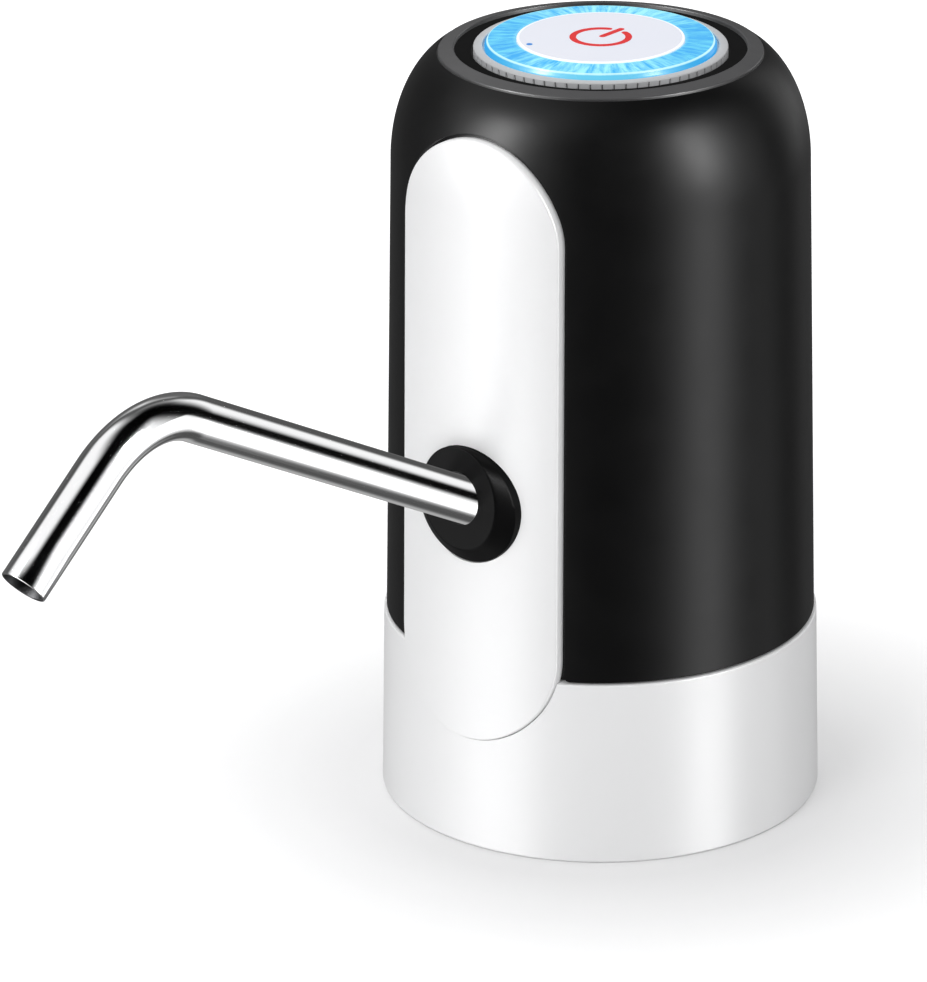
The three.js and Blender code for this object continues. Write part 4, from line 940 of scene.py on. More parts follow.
collarBlack = coverFinish("collarBlack", 0.43, 0.1)
collar = addShell(
    "spout_collar_shell", collarShape(), "cover_black", "spout_collar", material=collarBlack,
)
boreRadius = spoutSizes.radius + collarSizes.borePlay
boreLoop = circle(collarSizes.boreSides, boreRadius)
cutAway(collar, loftShape([[fromSpout(x, y, z) for x, y in boreLoop] for z in collarSizes.boreEnds]))
smoothed(collar, 38)


def pipePath():
    # stations along the pipe: place and direction, in the spout's own frame
    sizes = spoutSizes
    tangent = sizes.bendRadius * math.tan(sizes.bend / 2)
    outwards = Vector((0, 0, 1))
    start = outwards * -sizes.insertion
    corner = outwards * (sizes.firstLeg - tangent)
    stations = [(start.lerp(corner, share), outwards) for share in (0.0, 0.2, 0.25, 0.5, 0.75)]
    centre = corner + Vector((0, -sizes.bendRadius, 0))
    for k in range(sizes.bendSteps + 1):
        angle = sizes.bend * k / sizes.bendSteps
        spot = centre + Vector((0, math.cos(angle), math.sin(angle))) * sizes.bendRadius
        stations.append((spot, Vector((0, -math.sin(angle), math.cos(angle)))))
    spot, course = stations[-1]
    for share in (0.33, 0.66, 1.0):
        stations.append((spot + course * (sizes.secondLeg - tangent) * share, course))
    return stations


def pipeShape():
    sizes = spoutSizes
    stations = pipePath()
    outer, inner, edge = sizes.radius, sizes.radius - sizes.wall, sizes.endRound
    middle = (outer + inner) / 2
    rings, along = [], []

    def ring(spot, course, radius, travelled):
        sideways = Vector((1, 0, 0))
        bent = math.acos(max(-1.0, min(1.0, course.z))) / sizes.bend
        upwards = course.cross(sideways) * (1 - sizes.bendSqueeze * math.sin(math.pi * bent))
        loop = circle(sizes.around)
        rings.append([swivelled(*(spot + (sideways * x + upwards * y) * radius)) for x, y in loop])
        along.append(travelled)

    def roundEnd(station, side, travelled):
        spot, course = station
        for k in range(sizes.endSteps + 1):
            angle = math.pi * k / sizes.endSteps
            back = course * edge * (1 - math.sin(angle)) * side
            ring(spot - back, course, middle + (outer - middle) * math.cos(angle) * side, travelled)

    travelled = 0.0
    for i in range(1, len(stations)):
        travelled += (stations[i][0] - stations[i - 1][0]).length
        if i < len(stations) - 1:
            ring(*stations[i], outer, travelled)
    roundEnd(stations[-1], 1, travelled)
    for station in reversed(stations[1:-1]):
        ring(*station, inner, 0)
    roundEnd(stations[0], -1, 0)
    return loftShape(rings, closed=False, looped=True), along


pipeForm, pipeAlong = pipeShape()
pipe = addPiece(
    "spout_pipe_tube", *pipeForm, finishes["spout_steel"], "spout", ["spout_pipe"], "spout_steel",
)
pipe.data.materials.append(boreShadeFinish)
unrolled = pipe.data.uv_layers.new(name="unrolled")
columnWidth, lengthScale = 3.0, 40  # of the unrolled map
outerRings = len(pipePath()) + 2
for face in pipe.data.polygons:
    columns = [i % spoutSizes.around for i in face.vertices]
    rows = [i // spoutSizes.around for i in face.vertices]
    for loop, column, row in zip(face.loop_indices, columns, rows):
        wrapped = column == 0 and max(columns) == spoutSizes.around - 1
        shown = spoutSizes.around if wrapped else column
        unrolled.data[loop].uv = (shown * columnWidth, pipeAlong[row] / lengthScale)
    # the inner faces take the dark bore finish, painted shade inside the tube
    if min(rows) >= outerRings:
        face.material_index = 1
faceOutwards(pipe, weld=False)
smoothed(pipe, 50, weighted=False)


def ringShape(profile, count, placing):
    loops = [[placing(r * x, r * y, z) for r, z in profile] for x, y in circle(count)]
    return loftShape(loops, closed=False, looped=True)


sealSizes = Sizes(
    section=0.8, play=0.15, place=11.5, grommetWall=0.7, flange=0.4, depth=4.0, gap=0.3,
    sides=20, around=72,
)
sealMiddle = spoutSizes.radius + sealSizes.play + sealSizes.section
sealLoop = circle(sealSizes.sides, sealSizes.section)
sealProfile = [(sealMiddle + x, y - sealSizes.place) for x, y in sealLoop]
sealShape = ringShape(sealProfile, sealSizes.around, fromSpout)
socketSeal = addShell("socket_seal_ring", sealShape, "seal_rubber", "socket_seal", "swivel_seal")
smoothed(socketSeal, 60)

endGap = -spoutSizes.insertion - sealSizes.gap
grommetTop = -spoutSizes.insertion + sealSizes.depth
grommetOuter = spoutSizes.radius - spoutSizes.wall - sealSizes.gap
grommetInner = grommetOuter - sealSizes.grommetWall
grommetProfile = rounded([
    (grommetInner, endGap - sealSizes.flange, 0.12),
    (spoutSizes.radius, endGap - sealSizes.flange, 0.12),
    (spoutSizes.radius, endGap, 0.12),
    (grommetOuter, endGap, 0.1),
    (grommetOuter, grommetTop, 0.2),
    (grommetInner, grommetTop, 0.2),
])
grommet = ringShape(grommetProfile, sealSizes.around, swivelled)
endSeal = addShell("spout_end_seal_cap", grommet, "silicone", "spout_end_seal", "spout")
smoothed(endSeal, 40)
print("spout done")


# Round top: bezel, grey ring, button

topSizes = Sizes(
    sides=240, seat=122.984,
    landing=127.05,  # black floor between the grey ring and the button
    trimSeat=124.584, outer=26.2, sleeveRadius=20.8, sleeveWall=1.4, sleeveDepth=6.8,
    trimInner=23.6, trimOuterTop=127.15, trimInnerTop=127.75, trimRound=0.22,
    postRadius=1.8, postTop=123.6, postHole=1.4, holeBelow=2, holeAbove=6,
)


def bezelShape():
    # the black floor between the grey ring and the button, and the sleeve that guides the button
    sizes = topSizes
    low, sleeveOuter = sizes.seat - sizes.sleeveDepth, sizes.sleeveRadius + sizes.sleeveWall
    return turnedShape(rounded([
        (sizes.sleeveRadius, low, 0.3),
        (sleeveOuter, low, 0.3),
        (sleeveOuter, sizes.seat, 0.4),
        (sizes.outer, sizes.seat, 0.2),
        (sizes.outer, sizes.trimSeat, 0.1),
        (sizes.trimInner, sizes.trimSeat, 0),
        (sizes.trimInner, sizes.landing, 0),
        (sizes.sleeveRadius, sizes.landing, 0.25),
    ]), sizes.sides)


def trimShape():
    sizes = topSizes
    return turnedShape(rounded([
        (sizes.trimInner, sizes.trimSeat, 0.08),
        (sizes.outer, sizes.trimSeat, 0.08),
        (sizes.outer, sizes.trimOuterTop, sizes.trimRound),
        (sizes.trimInner, sizes.trimInnerTop, sizes.trimRound),
    ], 7), sizes.sides)


bezelBlack = coverFinish("bezelBlack", 0.55, 0.1)
bezel = addShell(
    "button_bezel_shell", bezelShape(), "cover_black", "button_bezel", material=bezelBlack,
)
postPlaces = [middleOf(node) for node in ("board_screw_1", "board_screw_2", "board_screw_3")]
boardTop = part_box("led_board")[1].z / mm + rimDrop
joinOn(bezel, uprightRods(topSizes.postRadius, postPlaces, boardTop, topSizes.postTop, 32))
holeLow, holeHigh = boardTop - topSizes.holeBelow, boardTop + topSizes.holeAbove
cutAway(bezel, uprightRods(topSizes.postHole, postPlaces, holeLow, holeHigh, 24))
smoothed(bezel, 40)
trim = addShell("trim_ring_band", trimShape(), "trim_grey", "trim_ring")
smoothed(trim, 40)

buttonSizes = Sizes(
    radius=20.5, rimInner=19.0, rimTop=127.95, rimFall=0.1, rimRound=0.22,
    plateTop=127.384, plateLow=126.184, stemRadius=2.4, stemLength=6.6,
    catchTop=115.884, catchHeight=1.0, catchReach=1.1,
    tickCount=68, tickParts=12, tickWide=2, tickDepth=0.45,
    tickLow=125.6, tickHigh=127.62, tickEdge=0.15,
    ringInner=13.75, ringOuter=18.7, ringEdge=18.25,
    ringInnerRise=1.6, ringEdgeRise=1.4, ringOuterRise=0.6,
    discRadius=13.55, discRise=1.74, discFlat=0.6,
    screwClear=2.1, clearLow=112.9, clearHigh=116.0,
)


def buttonShape():
    sizes = buttonSizes
    stemLow, low = sizes.plateLow - sizes.stemLength, sizes.catchTop - sizes.catchHeight
    caught = sizes.radius + sizes.catchReach
    profile = rounded([
        (0, stemLow, 0),
        (sizes.stemRadius, stemLow, 0.3),
        (sizes.stemRadius, sizes.plateLow, 0.5),
        (sizes.rimInner, sizes.plateLow, 0.5),
        (sizes.rimInner, low, 0.2),
        (caught, low, 0.3),
        (caught, sizes.catchTop, 0.1),
        (sizes.radius, sizes.catchTop, 0.1),
        (sizes.radius, sizes.tickLow, 0),
        (sizes.radius, sizes.tickLow + sizes.tickEdge, 0),
        (sizes.radius, sizes.rimTop - sizes.rimFall, sizes.rimRound),
        (sizes.rimInner, sizes.rimTop, 0.15),
        (sizes.rimInner, sizes.plateTop, 0),
        (0, sizes.plateTop, 0),
    ], 7)

    def tick(k, radius, height):
        # small notches round the foot of the rim
        notched = k % sizes.tickParts < sizes.tickWide and radius > sizes.radius - 0.3
        if notched and sizes.tickLow + 0.1 < height < sizes.tickHigh:
            return radius - sizes.tickDepth
        return radius

    return turnedShape(profile, sizes.tickCount * sizes.tickParts, tick)


def glowRingShape():
    sizes, plate = buttonSizes, buttonSizes.plateTop
    return turnedShape(rounded([
        (sizes.ringInner, plate, 0.05),
        (sizes.ringOuter, plate, 0.05),
        (sizes.ringOuter, plate + sizes.ringOuterRise, 0.12),
        (sizes.ringEdge, plate + sizes.ringEdgeRise, 0.12),
        (sizes.ringInner, plate + sizes.ringInnerRise, 0.1),
    ]), topSizes.sides)


def discShape():
    radius, plate, top = buttonSizes.discRadius, buttonSizes.plateTop, discTop
    return turnedShape(rounded([
        (0, plate, 0),
        (radius, plate, 0.05),
        (radius, top, 0.22),
        (radius * buttonSizes.discFlat, top, 0),
        (0, top, 0),
    ]), topSizes.sides)


button = addShell("button_body_rim", buttonShape(), "button_frost", "button_body", "button")
# the notch faces take the near-black inner finish: painted shade in the notches
button.data.materials.append(finishes["inner_black"])
for face in button.data.polygons:
    middle = sum((button.data.vertices[i].co for i in face.vertices), Vector()) / len(face.vertices)
    reach, height = middle.xy.length / mm, middle.z / mm + rimDrop
    notched = buttonSizes.rimInner + 0.5 < reach < buttonSizes.radius - buttonSizes.tickEdge
    if notched and buttonSizes.tickLow < height < buttonSizes.tickHigh:
        face.material_index = 1
screwRoom = (buttonSizes.clearLow, buttonSizes.clearHigh)
cutAway(button, uprightRods(buttonSizes.screwClear, postPlaces, *screwRoom, 24))
smoothed(button, 40)
glow = addShell("light_ring_lens", glowRingShape(), "button_blue", "light_ring", "button")
smoothed(glow, 30)
discTop = buttonSizes.plateTop + buttonSizes.discRise
disc = addShell("button_disc_face", discShape(), "button_white", "button_disc", "button")
smoothed(disc, 40)

symbolSizes = Sizes(
    middleRadius=4.5, stroke=1.06, pointsTo=math.radians(88.0), gap=math.radians(21.0), arcSteps=72,
    barStart=0.45, barEnd=5.3, barSteps=6, thickness=0.04, sunk=0.02,
    dotRadius=0.5, dotX=-6.84, dotY=-9.92, dotSides=32,
)
symbolHeights = (discTop - symbolSizes.sunk, discTop + symbolSizes.thickness)


def strokeShape(path, capSteps=8):
    # a flat stroke with round ends along a path of flat points
    left, right = [], []
    for i, point in enumerate(path):
        ahead = (path[min(i + 1, len(path) - 1)] - path[max(i - 1, 0)]).normalized()
        side = Vector((-ahead.y, ahead.x)) * symbolSizes.stroke / 2
        left.append(point + side)
        right.append(point - side)

    def cap(end, start):
        spoke = start - end
        return [end + Vector(spun(*spoke, -math.pi * k / capSteps)) for k in range(1, capSteps)]

    outline = left + cap(path[-1], left[-1]) + right[::-1] + cap(path[0], right[0])
    return loftShape([[place(p.x, p.y, height) for p in outline] for height in symbolHeights])


symbolPath = []
for k in range(symbolSizes.arcSteps + 1):
    sweep = 2 * math.pi - 2 * symbolSizes.gap
    angle = symbolSizes.pointsTo + symbolSizes.gap + sweep * k / symbolSizes.arcSteps
    symbolPath.append(Vector((math.cos(angle), math.sin(angle))) * symbolSizes.middleRadius)
direction = Vector((math.cos(symbolSizes.pointsTo), math.sin(symbolSizes.pointsTo)))
barLength = symbolSizes.barEnd - symbolSizes.barStart
barShares = [k / symbolSizes.barSteps for k in range(symbolSizes.barSteps + 1)]
barPath = [direction * (symbolSizes.barStart + barLength * share) for share in barShares]
strokes = together(strokeShape(symbolPath), strokeShape(barPath))
addShell("power_symbol", strokes, "button_white", None, "button", redInk)
dotLoop = circle(symbolSizes.dotSides, symbolSizes.dotRadius)
dotShape = loftShape([
    [place(symbolSizes.dotX + x, symbolSizes.dotY + y, height) for x, y in dotLoop]
    for height in symbolHeights
])
addShell("button_dot", dotShape, "button_white", None, "button", blueInk)

# The return spring under the button, built to the imported spring's length
springSizes = Sizes(radius=5.2, wire=0.35, turns=4.5, turnParts=32, wireSides=12, travel=0.8)
springLow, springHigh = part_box("return_spring")


def springShape():
    sizes = springSizes
    low, high = springLow.z / mm, springHigh.z / mm
    climb = (high - low - 2 * sizes.wire) / (sizes.turns * 2 * math.pi)
    rings = []
    for k in range(int(sizes.turns * sizes.turnParts) + 1):
        angle = 2 * math.pi * k / sizes.turnParts
        x, y = math.cos(angle), math.sin(angle)
        outwards = Vector((x, y, 0))
        along = Vector((-sizes.radius * y, sizes.radius * x, climb)).normalized()
        upwards = along.cross(outwards)
        middle = outwards * sizes.radius + Vector((0, 0, low + sizes.wire + climb * angle))
        loop = circle(sizes.wireSides)
        rings.append([(middle + (outwards * x + upwards * y) * sizes.wire) * mm for x, y in loop])
    return loftShape(rings)


spring = addShell("return_spring_coil", springShape(), "plated_steel", "return_spring")
smoothed(spring, 40)
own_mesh(spring)
print("button done")


# Underside: neck collar with fins, inlet nipple and screws

neckSizes = Sizes(
    bore=27.9, wall=1.0, foot=2.0, top=24.2, leadIn=0.6,
    finCount=3, finReach=1.0, finThickness=0.8, finPitch=5.0, firstFin=6.0, sides=192,
)


def neckShape():
    sizes = neckSizes
    bore, outer, tip = sizes.bore, sizes.bore + sizes.wall, sizes.bore - sizes.finReach
    corners = [
        (bore + sizes.leadIn, sizes.foot, 0.12),
        (outer, sizes.foot, 0.2),
        (outer, sizes.top, 0.15),
        (bore, sizes.top, 0.15),
    ]
    for k in reversed(range(sizes.finCount)):
        low = sizes.firstFin + k * sizes.finPitch
        corners += [
            (bore, low + sizes.finThickness * 2, 0.3),
            (tip, low + sizes.finThickness, 0.22),
            (tip, low, 0.22),
            (bore, low, 0.2),
        ]
    corners.append((bore, sizes.foot + sizes.leadIn, 0.2))
    return turnedShape(rounded(corners), sizes.sides)


smoothed(addShell("neck_collar_sleeve", neckShape(), "silicone", "neck_collar"), 40)

nippleSizes = Sizes(
    bore=1.9, radius=2.5, barb=2.9, barbs=3, pitch=3.4, lead=1.2, drop=12.0,
    flange=5.0, flangeThickness=1.5, rise=7.0, sides=64,
)


def nippleShape():
    sizes = nippleSizes
    low, deck = skirtSizes.deckLow - sizes.drop, skirtSizes.deckTop
    corners = [(sizes.bore, low, 0.1), (sizes.radius, low, 0.15)]
    for k in range(sizes.barbs):
        foot = low + k * sizes.pitch
        corners += [(sizes.barb, foot + sizes.lead, 0.08), (sizes.radius, foot + sizes.lead, 0.08)]
        if k < sizes.barbs - 1:
            corners.append((sizes.radius, foot + sizes.pitch, 0))
    corners += [
        (sizes.radius, deck, 0.1),
        (sizes.flange, deck, 0.1),
        (sizes.flange, deck + sizes.flangeThickness, 0.3),
        (sizes.radius, deck + sizes.flangeThickness, 0.3),
        (sizes.radius, deck + sizes.rise, 0.3),
        (sizes.bore, deck + sizes.rise, 0.1),
    ]
    return moved(turnedShape(rounded(corners), sizes.sides), skirtSizes.inletX, skirtSizes.inletY)


smoothed(addShell("inlet_nipple_barbed", nippleShape(), "inner_plastic", "inlet_nipple"), 40)

screwSizes = Sizes(
    headRadius=2.0, headHeight=1.6, shank=1.1, length=12.0, slotHalf=0.28, slotReach=1.15,
    slotDepth=0.8, seat=24.5, pitch=0.8, thread=0.14, sides=40,
)


def screwShape(x, y):
    sizes = screwSizes
    head, seat, core = sizes.seat - sizes.headHeight, sizes.seat, sizes.shank - sizes.thread
    corners = [
        (0, head, 0),
        (sizes.headRadius, head, 0.5),
        (sizes.headRadius, seat, 0.05),
        (sizes.shank, seat, 0.05),
    ]
    for k in range(int(sizes.length / sizes.pitch) - 1):
        height = seat + (k + 0.6) * sizes.pitch
        corners += [(core, height, 0), (sizes.shank, height + sizes.pitch / 2, 0)]
    corners += [(core, seat + sizes.length - 0.5, 0), (0, seat + sizes.length, 0)]
    return moved(turnedShape(rounded(corners), sizes.sides), x, y)


for node, (x, y) in zip(screwNodes, screwSpots):
    deckScrew = addShell(node + "_turned", screwShape(x, y), "plated_steel", node)
    half, reach = screwSizes.slotHalf, screwSizes.slotReach
    low = screwSizes.seat - screwSizes.headHeight
    top = low + screwSizes.slotDepth
    for wide, long in ((half, reach), (reach, half)):
        cutAway(deckScrew, blockShape((x - wide, y - long, low - 1), (x + wide, y + long, top)))
    smoothed(deckScrew, 35)
print("underside done")


# Charging socket and its light at the back

portSizes = Sizes(
    height=40.0, halfWidth=3.8, halfHeight=1.4, corner=1.3, wall=0.35, cavity=4.6,
    tongueHalfWidth=2.4, tongueHalfHeight=0.32, tongueCorner=0.2, tongueSetback=0.7, tongueRoot=0.3,
)
portBack, portFront = (corner.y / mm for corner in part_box("usb_socket"))
portInside = portFront - portSizes.cavity


def roundedLoop(y, halfWidth, halfHeight, corner, less=0.0, steps=8):
    halfWidth, halfHeight, corner = halfWidth - less, halfHeight - less, corner - less
    loop = []
    for quarter, (sx, sz) in enumerate(((1, 1), (-1, 1), (-1, -1), (1, -1))):
        for k in range(steps + 1):
            angle = math.pi / 2 * (quarter + k / steps)
            x = sx * (halfWidth - corner) + corner * math.cos(angle)
            z = sz * (halfHeight - corner) + corner * math.sin(angle)
            loop.append(place(x, y, portSizes.height + z))
    return loop


def portShape():
    # stations: place outwards, how much smaller than the outside
    sizes, wall = portSizes, portSizes.wall
    stations = (
        (portBack, 0.0), (portFront - 0.12, 0.0), (portFront - 0.04, 0.04), (portFront, 0.14),
        (portFront, wall - 0.06), (portFront - 0.1, wall), (portInside, wall),
    )
    return loftShape([
        roundedLoop(y, sizes.halfWidth, sizes.halfHeight, sizes.corner, less) for y, less in stations
    ])


def tongueShape():
    wide, tall, corner = portSizes.tongueHalfWidth, portSizes.tongueHalfHeight, portSizes.tongueCorner
    end = portFront - portSizes.tongueSetback
    return loftShape([
        roundedLoop(portInside - portSizes.tongueRoot, wide, tall, corner, steps=4),
        roundedLoop(end - 0.25, wide, tall, corner, steps=4),
        roundedLoop(end, wide - 0.25, tall - 0.12, corner - 0.05, steps=4),
    ])


smoothed(addShell("usb_socket_shell", portShape(), "plated_steel", "usb_socket"), 40)
smoothed(addShell("usb_socket_tongue", tongueShape(), "inner_black"), 40)

lightSizes = Sizes(radius=1.2, dome=0.35, pole=0.02, sides=40)


def lightPipeShape():
    # turned about an axis that points backwards, with a domed end
    sizes = lightSizes
    start, end = (corner.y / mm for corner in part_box("charge_light_pipe"))
    neck = end - sizes.dome
    profile = [(0, start), (sizes.radius, start), (sizes.radius, neck)]
    profile += [(sizes.radius * x, neck + sizes.dome * y) for x, y in arc(6)]
    rings = []
    for radius, y in profile:
        loop = circle(sizes.sides, max(radius, sizes.pole))
        rings.append([place(x, y, coverSizes.lightHeight + z) for x, z in loop])
    return loftShape(rings)


smoothed(addShell("charge_light_lens", lightPipeShape(), "button_frost", "charge_light_pipe"), 40)
print("back done")


# Floor, mirrored room, lamps and camera, in metres.
# Turns count from the camera's side of the object, to the right positive.

stageSizes = Sizes(
    cameraTurn=-53.443, floorHalf=6.0,
    # the floor's own light by distance from the object: near, middle, and what far adds; kept low near
    # the object, a painted shadow round its foot
    nearReach=0.042, middleReach=0.085, farReach=0.4, liftNear=0.055, liftMiddle=0.33, liftFar=0.34,
    worldOnObject=0.72,
)


def around(turn, distance, height):
    angle = math.radians(stageSizes.cameraTurn) + math.radians(turn)
    return Vector((distance * math.cos(angle), distance * math.sin(angle), height))


def heading(turn, rise):
    return around(turn, math.cos(math.radians(rise)), math.sin(math.radians(rise)))


def backdropRays(nodes, links):
    # 1 for what the camera sees straight, mirrored or through clear parts, otherwise 0
    path = nodes.new("ShaderNodeLightPath")
    seen = path.outputs["Is Camera Ray"]
    for kind in ("Is Glossy Ray", "Is Transmission Ray"):
        either = nodes.new("ShaderNodeMath")
        either.operation = "MAXIMUM"
        links.new(seen, either.inputs[0])
        links.new(path.outputs[kind], either.inputs[1])
        seen = either.outputs[0]
    return seen


def floorFinish():
    # pale floor with a soft sheen, white away from the object; its own light is lower close to the
    # object, a painted shadow round its foot
    sizes = stageSizes
    finish = Finish("floorPale", (0.8, 0.8, 0.805), 0.3)
    reach = finish.radial()[0]
    # less of the floor's own light near the object paints shade round its foot
    near = finish.remap(reach, sizes.nearReach, sizes.middleReach, sizes.liftNear, sizes.liftMiddle)
    far = finish.remap(reach, sizes.middleReach, sizes.farReach, 0.0, sizes.liftFar)
    seen = backdropRays(finish.nodes, finish.links)
    lift = finish.math("MULTIPLY", seen, finish.math("ADD", near, far))
    glow = finish.node("ShaderNodeEmission")
    finish.feed(glow.inputs["Strength"], lift)
    both = finish.node("ShaderNodeAddShader")
    finish.feed(both.inputs[0], finish.shader.outputs[0])
    finish.feed(both.inputs[1], glow.outputs[0])
    finish.feed(finish.nodes["Material Output"].inputs["Surface"], both.outputs[0])
    return finish.material


half = stageSizes.floorHalf
floorPoints = [(x * half, y * half, -rimDrop * mm) for x, y in ((-1, -1), (1, -1), (1, 1), (-1, 1))]
floor = addPiece("floor", floorPoints, [(0, 1, 2, 3)], floorFinish())


# What glossy surfaces mirror: a white room with bright, grey and black parts, by direction.
# Each path is a row of places: turn, rise, half width and softness in degrees.
roomSizes = Sizes(
    reach=20.0, rows=72, columns=144, pathParts=8,
    boxes=[
        # from turn, to turn, from rise, to rise, softness, tone
        (-42, 38, -88, 46, 8, 0.0),
        (68, 97, -88, -12, 6, 0.02),
        (109, 140, -34, -13, 5, 0.02),
        (140, 185, -88, -8, 8, 0.1),
        (150, 185, -8, 30, 6, 0.14),
        (-185, -92, -88, 26, 8, 0.12),
        (168, 194, -54, -28, 8, 0.42),
        (-72, -36, -55, 4, 6, 2.6),
        (50, 70, -55, 4, 6, 4.2),
    ],
    paths=[
        (0.2, [(140, 45, 7, 8), (158, 54, 9, 8), (-175, 58, 9, 8), (-165, 50, 7, 8)]),
        (0.085, [
            (-127, 25, 13, 8), (-133, 26, 10, 7), (-151, 34, 9, 7), (-168, 45, 9, 7),
            (177, 41, 9, 7), (162, 36, 7, 6), (156, 25, 6, 6), (154, 14, 6, 6),
            (157, 5, 7, 6), (172, -4, 7, 6),
        ]),
        (0.08, [(123, -38, 6, 7), (136, -57, 13, 8), (150, -58, 9, 9), (156, -48, 6, 8)]),
        (0.0, [
            (16, 46, 24, 11), (24, 50, 25, 12), (42, 60, 27, 13), (100, 72, 30, 15),
            (128, 64, 24, 12), (118, 49, 20, 11), (110, 28, 18, 10), (108, 8, 15, 8),
            (109, -3, 13, 6), (114.5, -6, 12.2, 5),
        ]),
    ],
)


def softStep(value, middle, soft):
    share = min(max((value - middle + soft) / (2 * soft), 0.0), 1.0)
    return share * share * (3 - 2 * share)


def pathBeads(path):
    beads = []
    for a, b in zip(path, path[1:]):
        start, end = heading(*a[:2]), heading(*b[:2])
        for k in range(roomSizes.pathParts + 1):
            share = k / roomSizes.pathParts
            size = [a[i] + (b[i] - a[i]) * share for i in (2, 3)]
            beads.append((start.slerp(end, share), *size))
    return beads


def roomTone(turn, rise, paths):
    tone = 1.0
    for fromTurn, toTurn, fromRise, toRise, soft, own in roomSizes.boxes:
        middle, half = (fromTurn + toTurn) / 2, (toTurn - fromTurn) / 2
        away = abs((turn - middle + 180) % 360 - 180)
        share = softStep(away, half, soft)
        share = max(share, softStep(-rise, -fromRise, soft), softStep(rise, toRise, soft))
        tone = own + (tone - own) * share
    spot = heading(turn, rise)
    for own, beads in paths:
        share = 1.0
        for bead, half, soft in beads:
            away = math.degrees(math.acos(max(-1.0, min(1.0, spot.dot(bead)))))
            share = min(share, softStep(away, half, soft))
        tone = own + (tone - own) * share
    return tone


def roomShape():
    sizes = roomSizes
    paths = [(own, pathBeads(path)) for own, path in sizes.paths]
    wide = sizes.columns + 1
    points, tones, faces = [], [], []
    for i in range(sizes.rows + 1):
        rise = -90 + 180 * i / sizes.rows
        for k in range(wide):
            turn = -180 + 360 * k / sizes.columns
            points.append(heading(turn, rise) * sizes.reach)
            tones.append(roomTone(turn, rise, paths))
            if i < sizes.rows and k < sizes.columns:
                corner = i * wide + k
                faces.append((corner, corner + 1, corner + wide + 1, corner + wide))
    return points, faces, tones


def roomFinish():
    material = bpy.data.materials.new("roomLight")
    material.use_nodes = True
    nodes, links = material.node_tree.nodes, material.node_tree.links
    tone = nodes.new("ShaderNodeAttribute")
    tone.attribute_name = "tone"
    light = nodes.new("ShaderNodeEmission")
    links.new(tone.outputs["Color"], light.inputs["Color"])
    links.new(light.outputs[0], nodes["Material Output"].inputs["Surface"])
    material.cycles.emission_sampling = "NONE"
    return material


*roomForm, roomTones = roomShape()
room = addPiece("room", *roomForm, roomFinish())
toneLayer = room.data.color_attributes.new("tone", "FLOAT_COLOR", "POINT")
for spot, tone in enumerate(roomTones):
    toneLayer.data[spot].color = (tone, tone, tone, 1)
room.visible_camera = False
room.visible_diffuse = False
room.visible_transmission = False
room.visible_shadow = False
for piece in bpy.context.scene.objects:
    if piece.type == "MESH" and piece not in (room, pipe):
        piece.visible_glossy = False  # gloss mirrors the room alone
print("room ready:", len(roomTones), "places")

world = bpy.data.worlds.new("studio")
bpy.context.scene.world = world
world.use_nodes = True
sky = world.node_tree
strength = sky.nodes.new("ShaderNodeMapRange")
strength.inputs["To Min"].default_value = stageSizes.worldOnObject
strength.inputs["To Max"].default_value = 1.0
sky.links.new(backdropRays(sky.nodes, sky.links), strength.inputs["Value"])
sky.links.new(strength.outputs["Result"], sky.nodes["Background"].inputs["Strength"])
sky.nodes["Background"].inputs["Color"].default_value = (1, 1, 1, 1)


def addLamp(name, aim, turn, rise, distance, width, height, radiance):
    lamp = bpy.data.lights.new(name, "AREA")
    lamp.shape = "RECTANGLE"
    lamp.size, lamp.size_y = width, height
    lamp.energy = radiance * math.pi * width * height
    holder = bpy.data.objects.new(name, lamp)
    bpy.context.scene.collection.objects.link(holder)
    holder.location = Vector(aim) + heading(turn, rise) * distance
    holder.rotation_euler = (Vector(aim) - holder.location).to_track_quat("-Z", "Y").to_euler()
    holder.visible_camera = False
    return holder


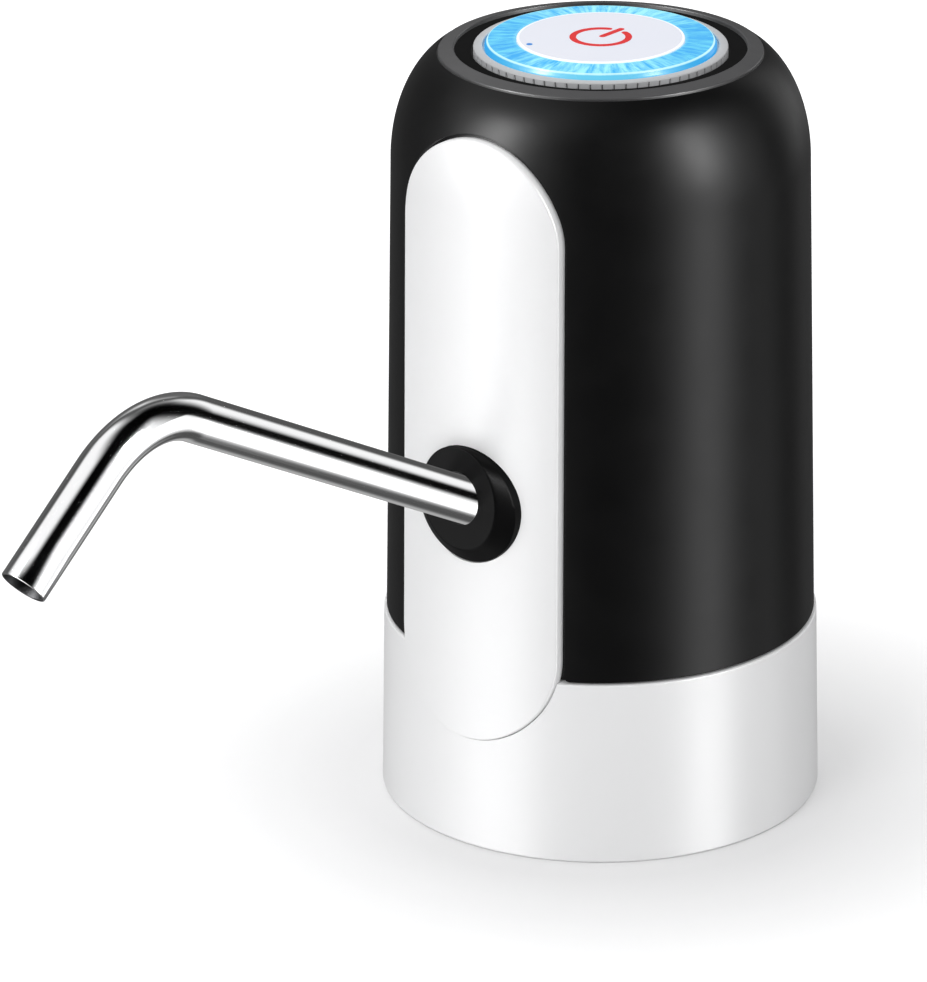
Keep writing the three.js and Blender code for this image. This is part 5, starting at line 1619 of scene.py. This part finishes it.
lampSizes = {
    # turn, rise, distance, width, height, radiance, whether only gloss sees it
    "rightStrip": (57, 22, 1.1, 0.24, 0.7, 20.0, True),
    "leftStrip": (-65, 26, 1.1, 0.26, 0.7, 24.0, True),
    "frontFill": (-34, 28, 1.4, 0.6, 0.6, 4.2, False),
    "topSoft": (-150, 78, 1.3, 1.3, 1.3, 1.45, False),
}
lampAim = (0, 0, 0.04)
for name, (*placing, glossOnly) in lampSizes.items():
    holder = addLamp(name, lampAim, *placing)
    holder.visible_diffuse = not glossOnly
    holder.visible_glossy = glossOnly

# Bright cards that only the spout sees, the lower one paler. The way from one to the
# next is what makes the soft lower edge of the spout's white stripe.
cardSizes = Sizes(
    aim=(0, -0.09, 0.03), distance=3.0, turn=83, halfTurn=20,
    cards=[(-20, 28, 0.97), (-52.5, 4.5, 0.42)],  # rise, half rise, radiance
)
mirrors = bpy.data.collections.new("mirrors")
mirrors.objects.link(pipe)
for k, (rise, halfRise, radiance) in enumerate(cardSizes.cards):
    distance, angles = cardSizes.distance, (cardSizes.halfTurn, halfRise)
    width, height = (2 * distance * math.tan(math.radians(angle)) for angle in angles)
    placing = (cardSizes.turn, rise, distance, width, height, radiance)
    holder = addLamp("spoutCard" + str(k + 1), cardSizes.aim, *placing)
    holder.data.use_shadow = False
    holder.visible_diffuse = False
    holder.light_linking.receiver_collection = mirrors

cameraSizes = Sizes(
    lens=229.71, sensor=36.0, near=0.05, far=60,
    spot=(0.57336, -0.77328, 0.40708), forward=(-0.57133, 0.73389, -0.36739), roll=-0.0078,
)
camera = bpy.data.cameras.new("photoCamera")
camera.sensor_width = cameraSizes.sensor
camera.sensor_fit = "AUTO"
camera.lens = cameraSizes.lens
camera.clip_start, camera.clip_end = cameraSizes.near, cameraSizes.far
cameraHolder = bpy.data.objects.new("photoCamera", camera)
bpy.context.scene.collection.objects.link(cameraHolder)
forward = Vector(cameraSizes.forward).normalized()
rightward = forward.cross(Vector((0, 0, 1))).normalized()
upward = rightward.cross(forward).normalized()
cosine, sine = math.cos(cameraSizes.roll), math.sin(cameraSizes.roll)
rightRolled, upRolled = rightward * cosine + upward * sine, -rightward * sine + upward * cosine
pose = Matrix((rightRolled, upRolled, -forward)).transposed().to_4x4()
pose.translation = Vector(cameraSizes.spot)
cameraHolder.matrix_world = pose
bpy.context.scene.camera = cameraHolder
bpy.context.scene.view_settings.view_transform = "Standard"
print("stage done")
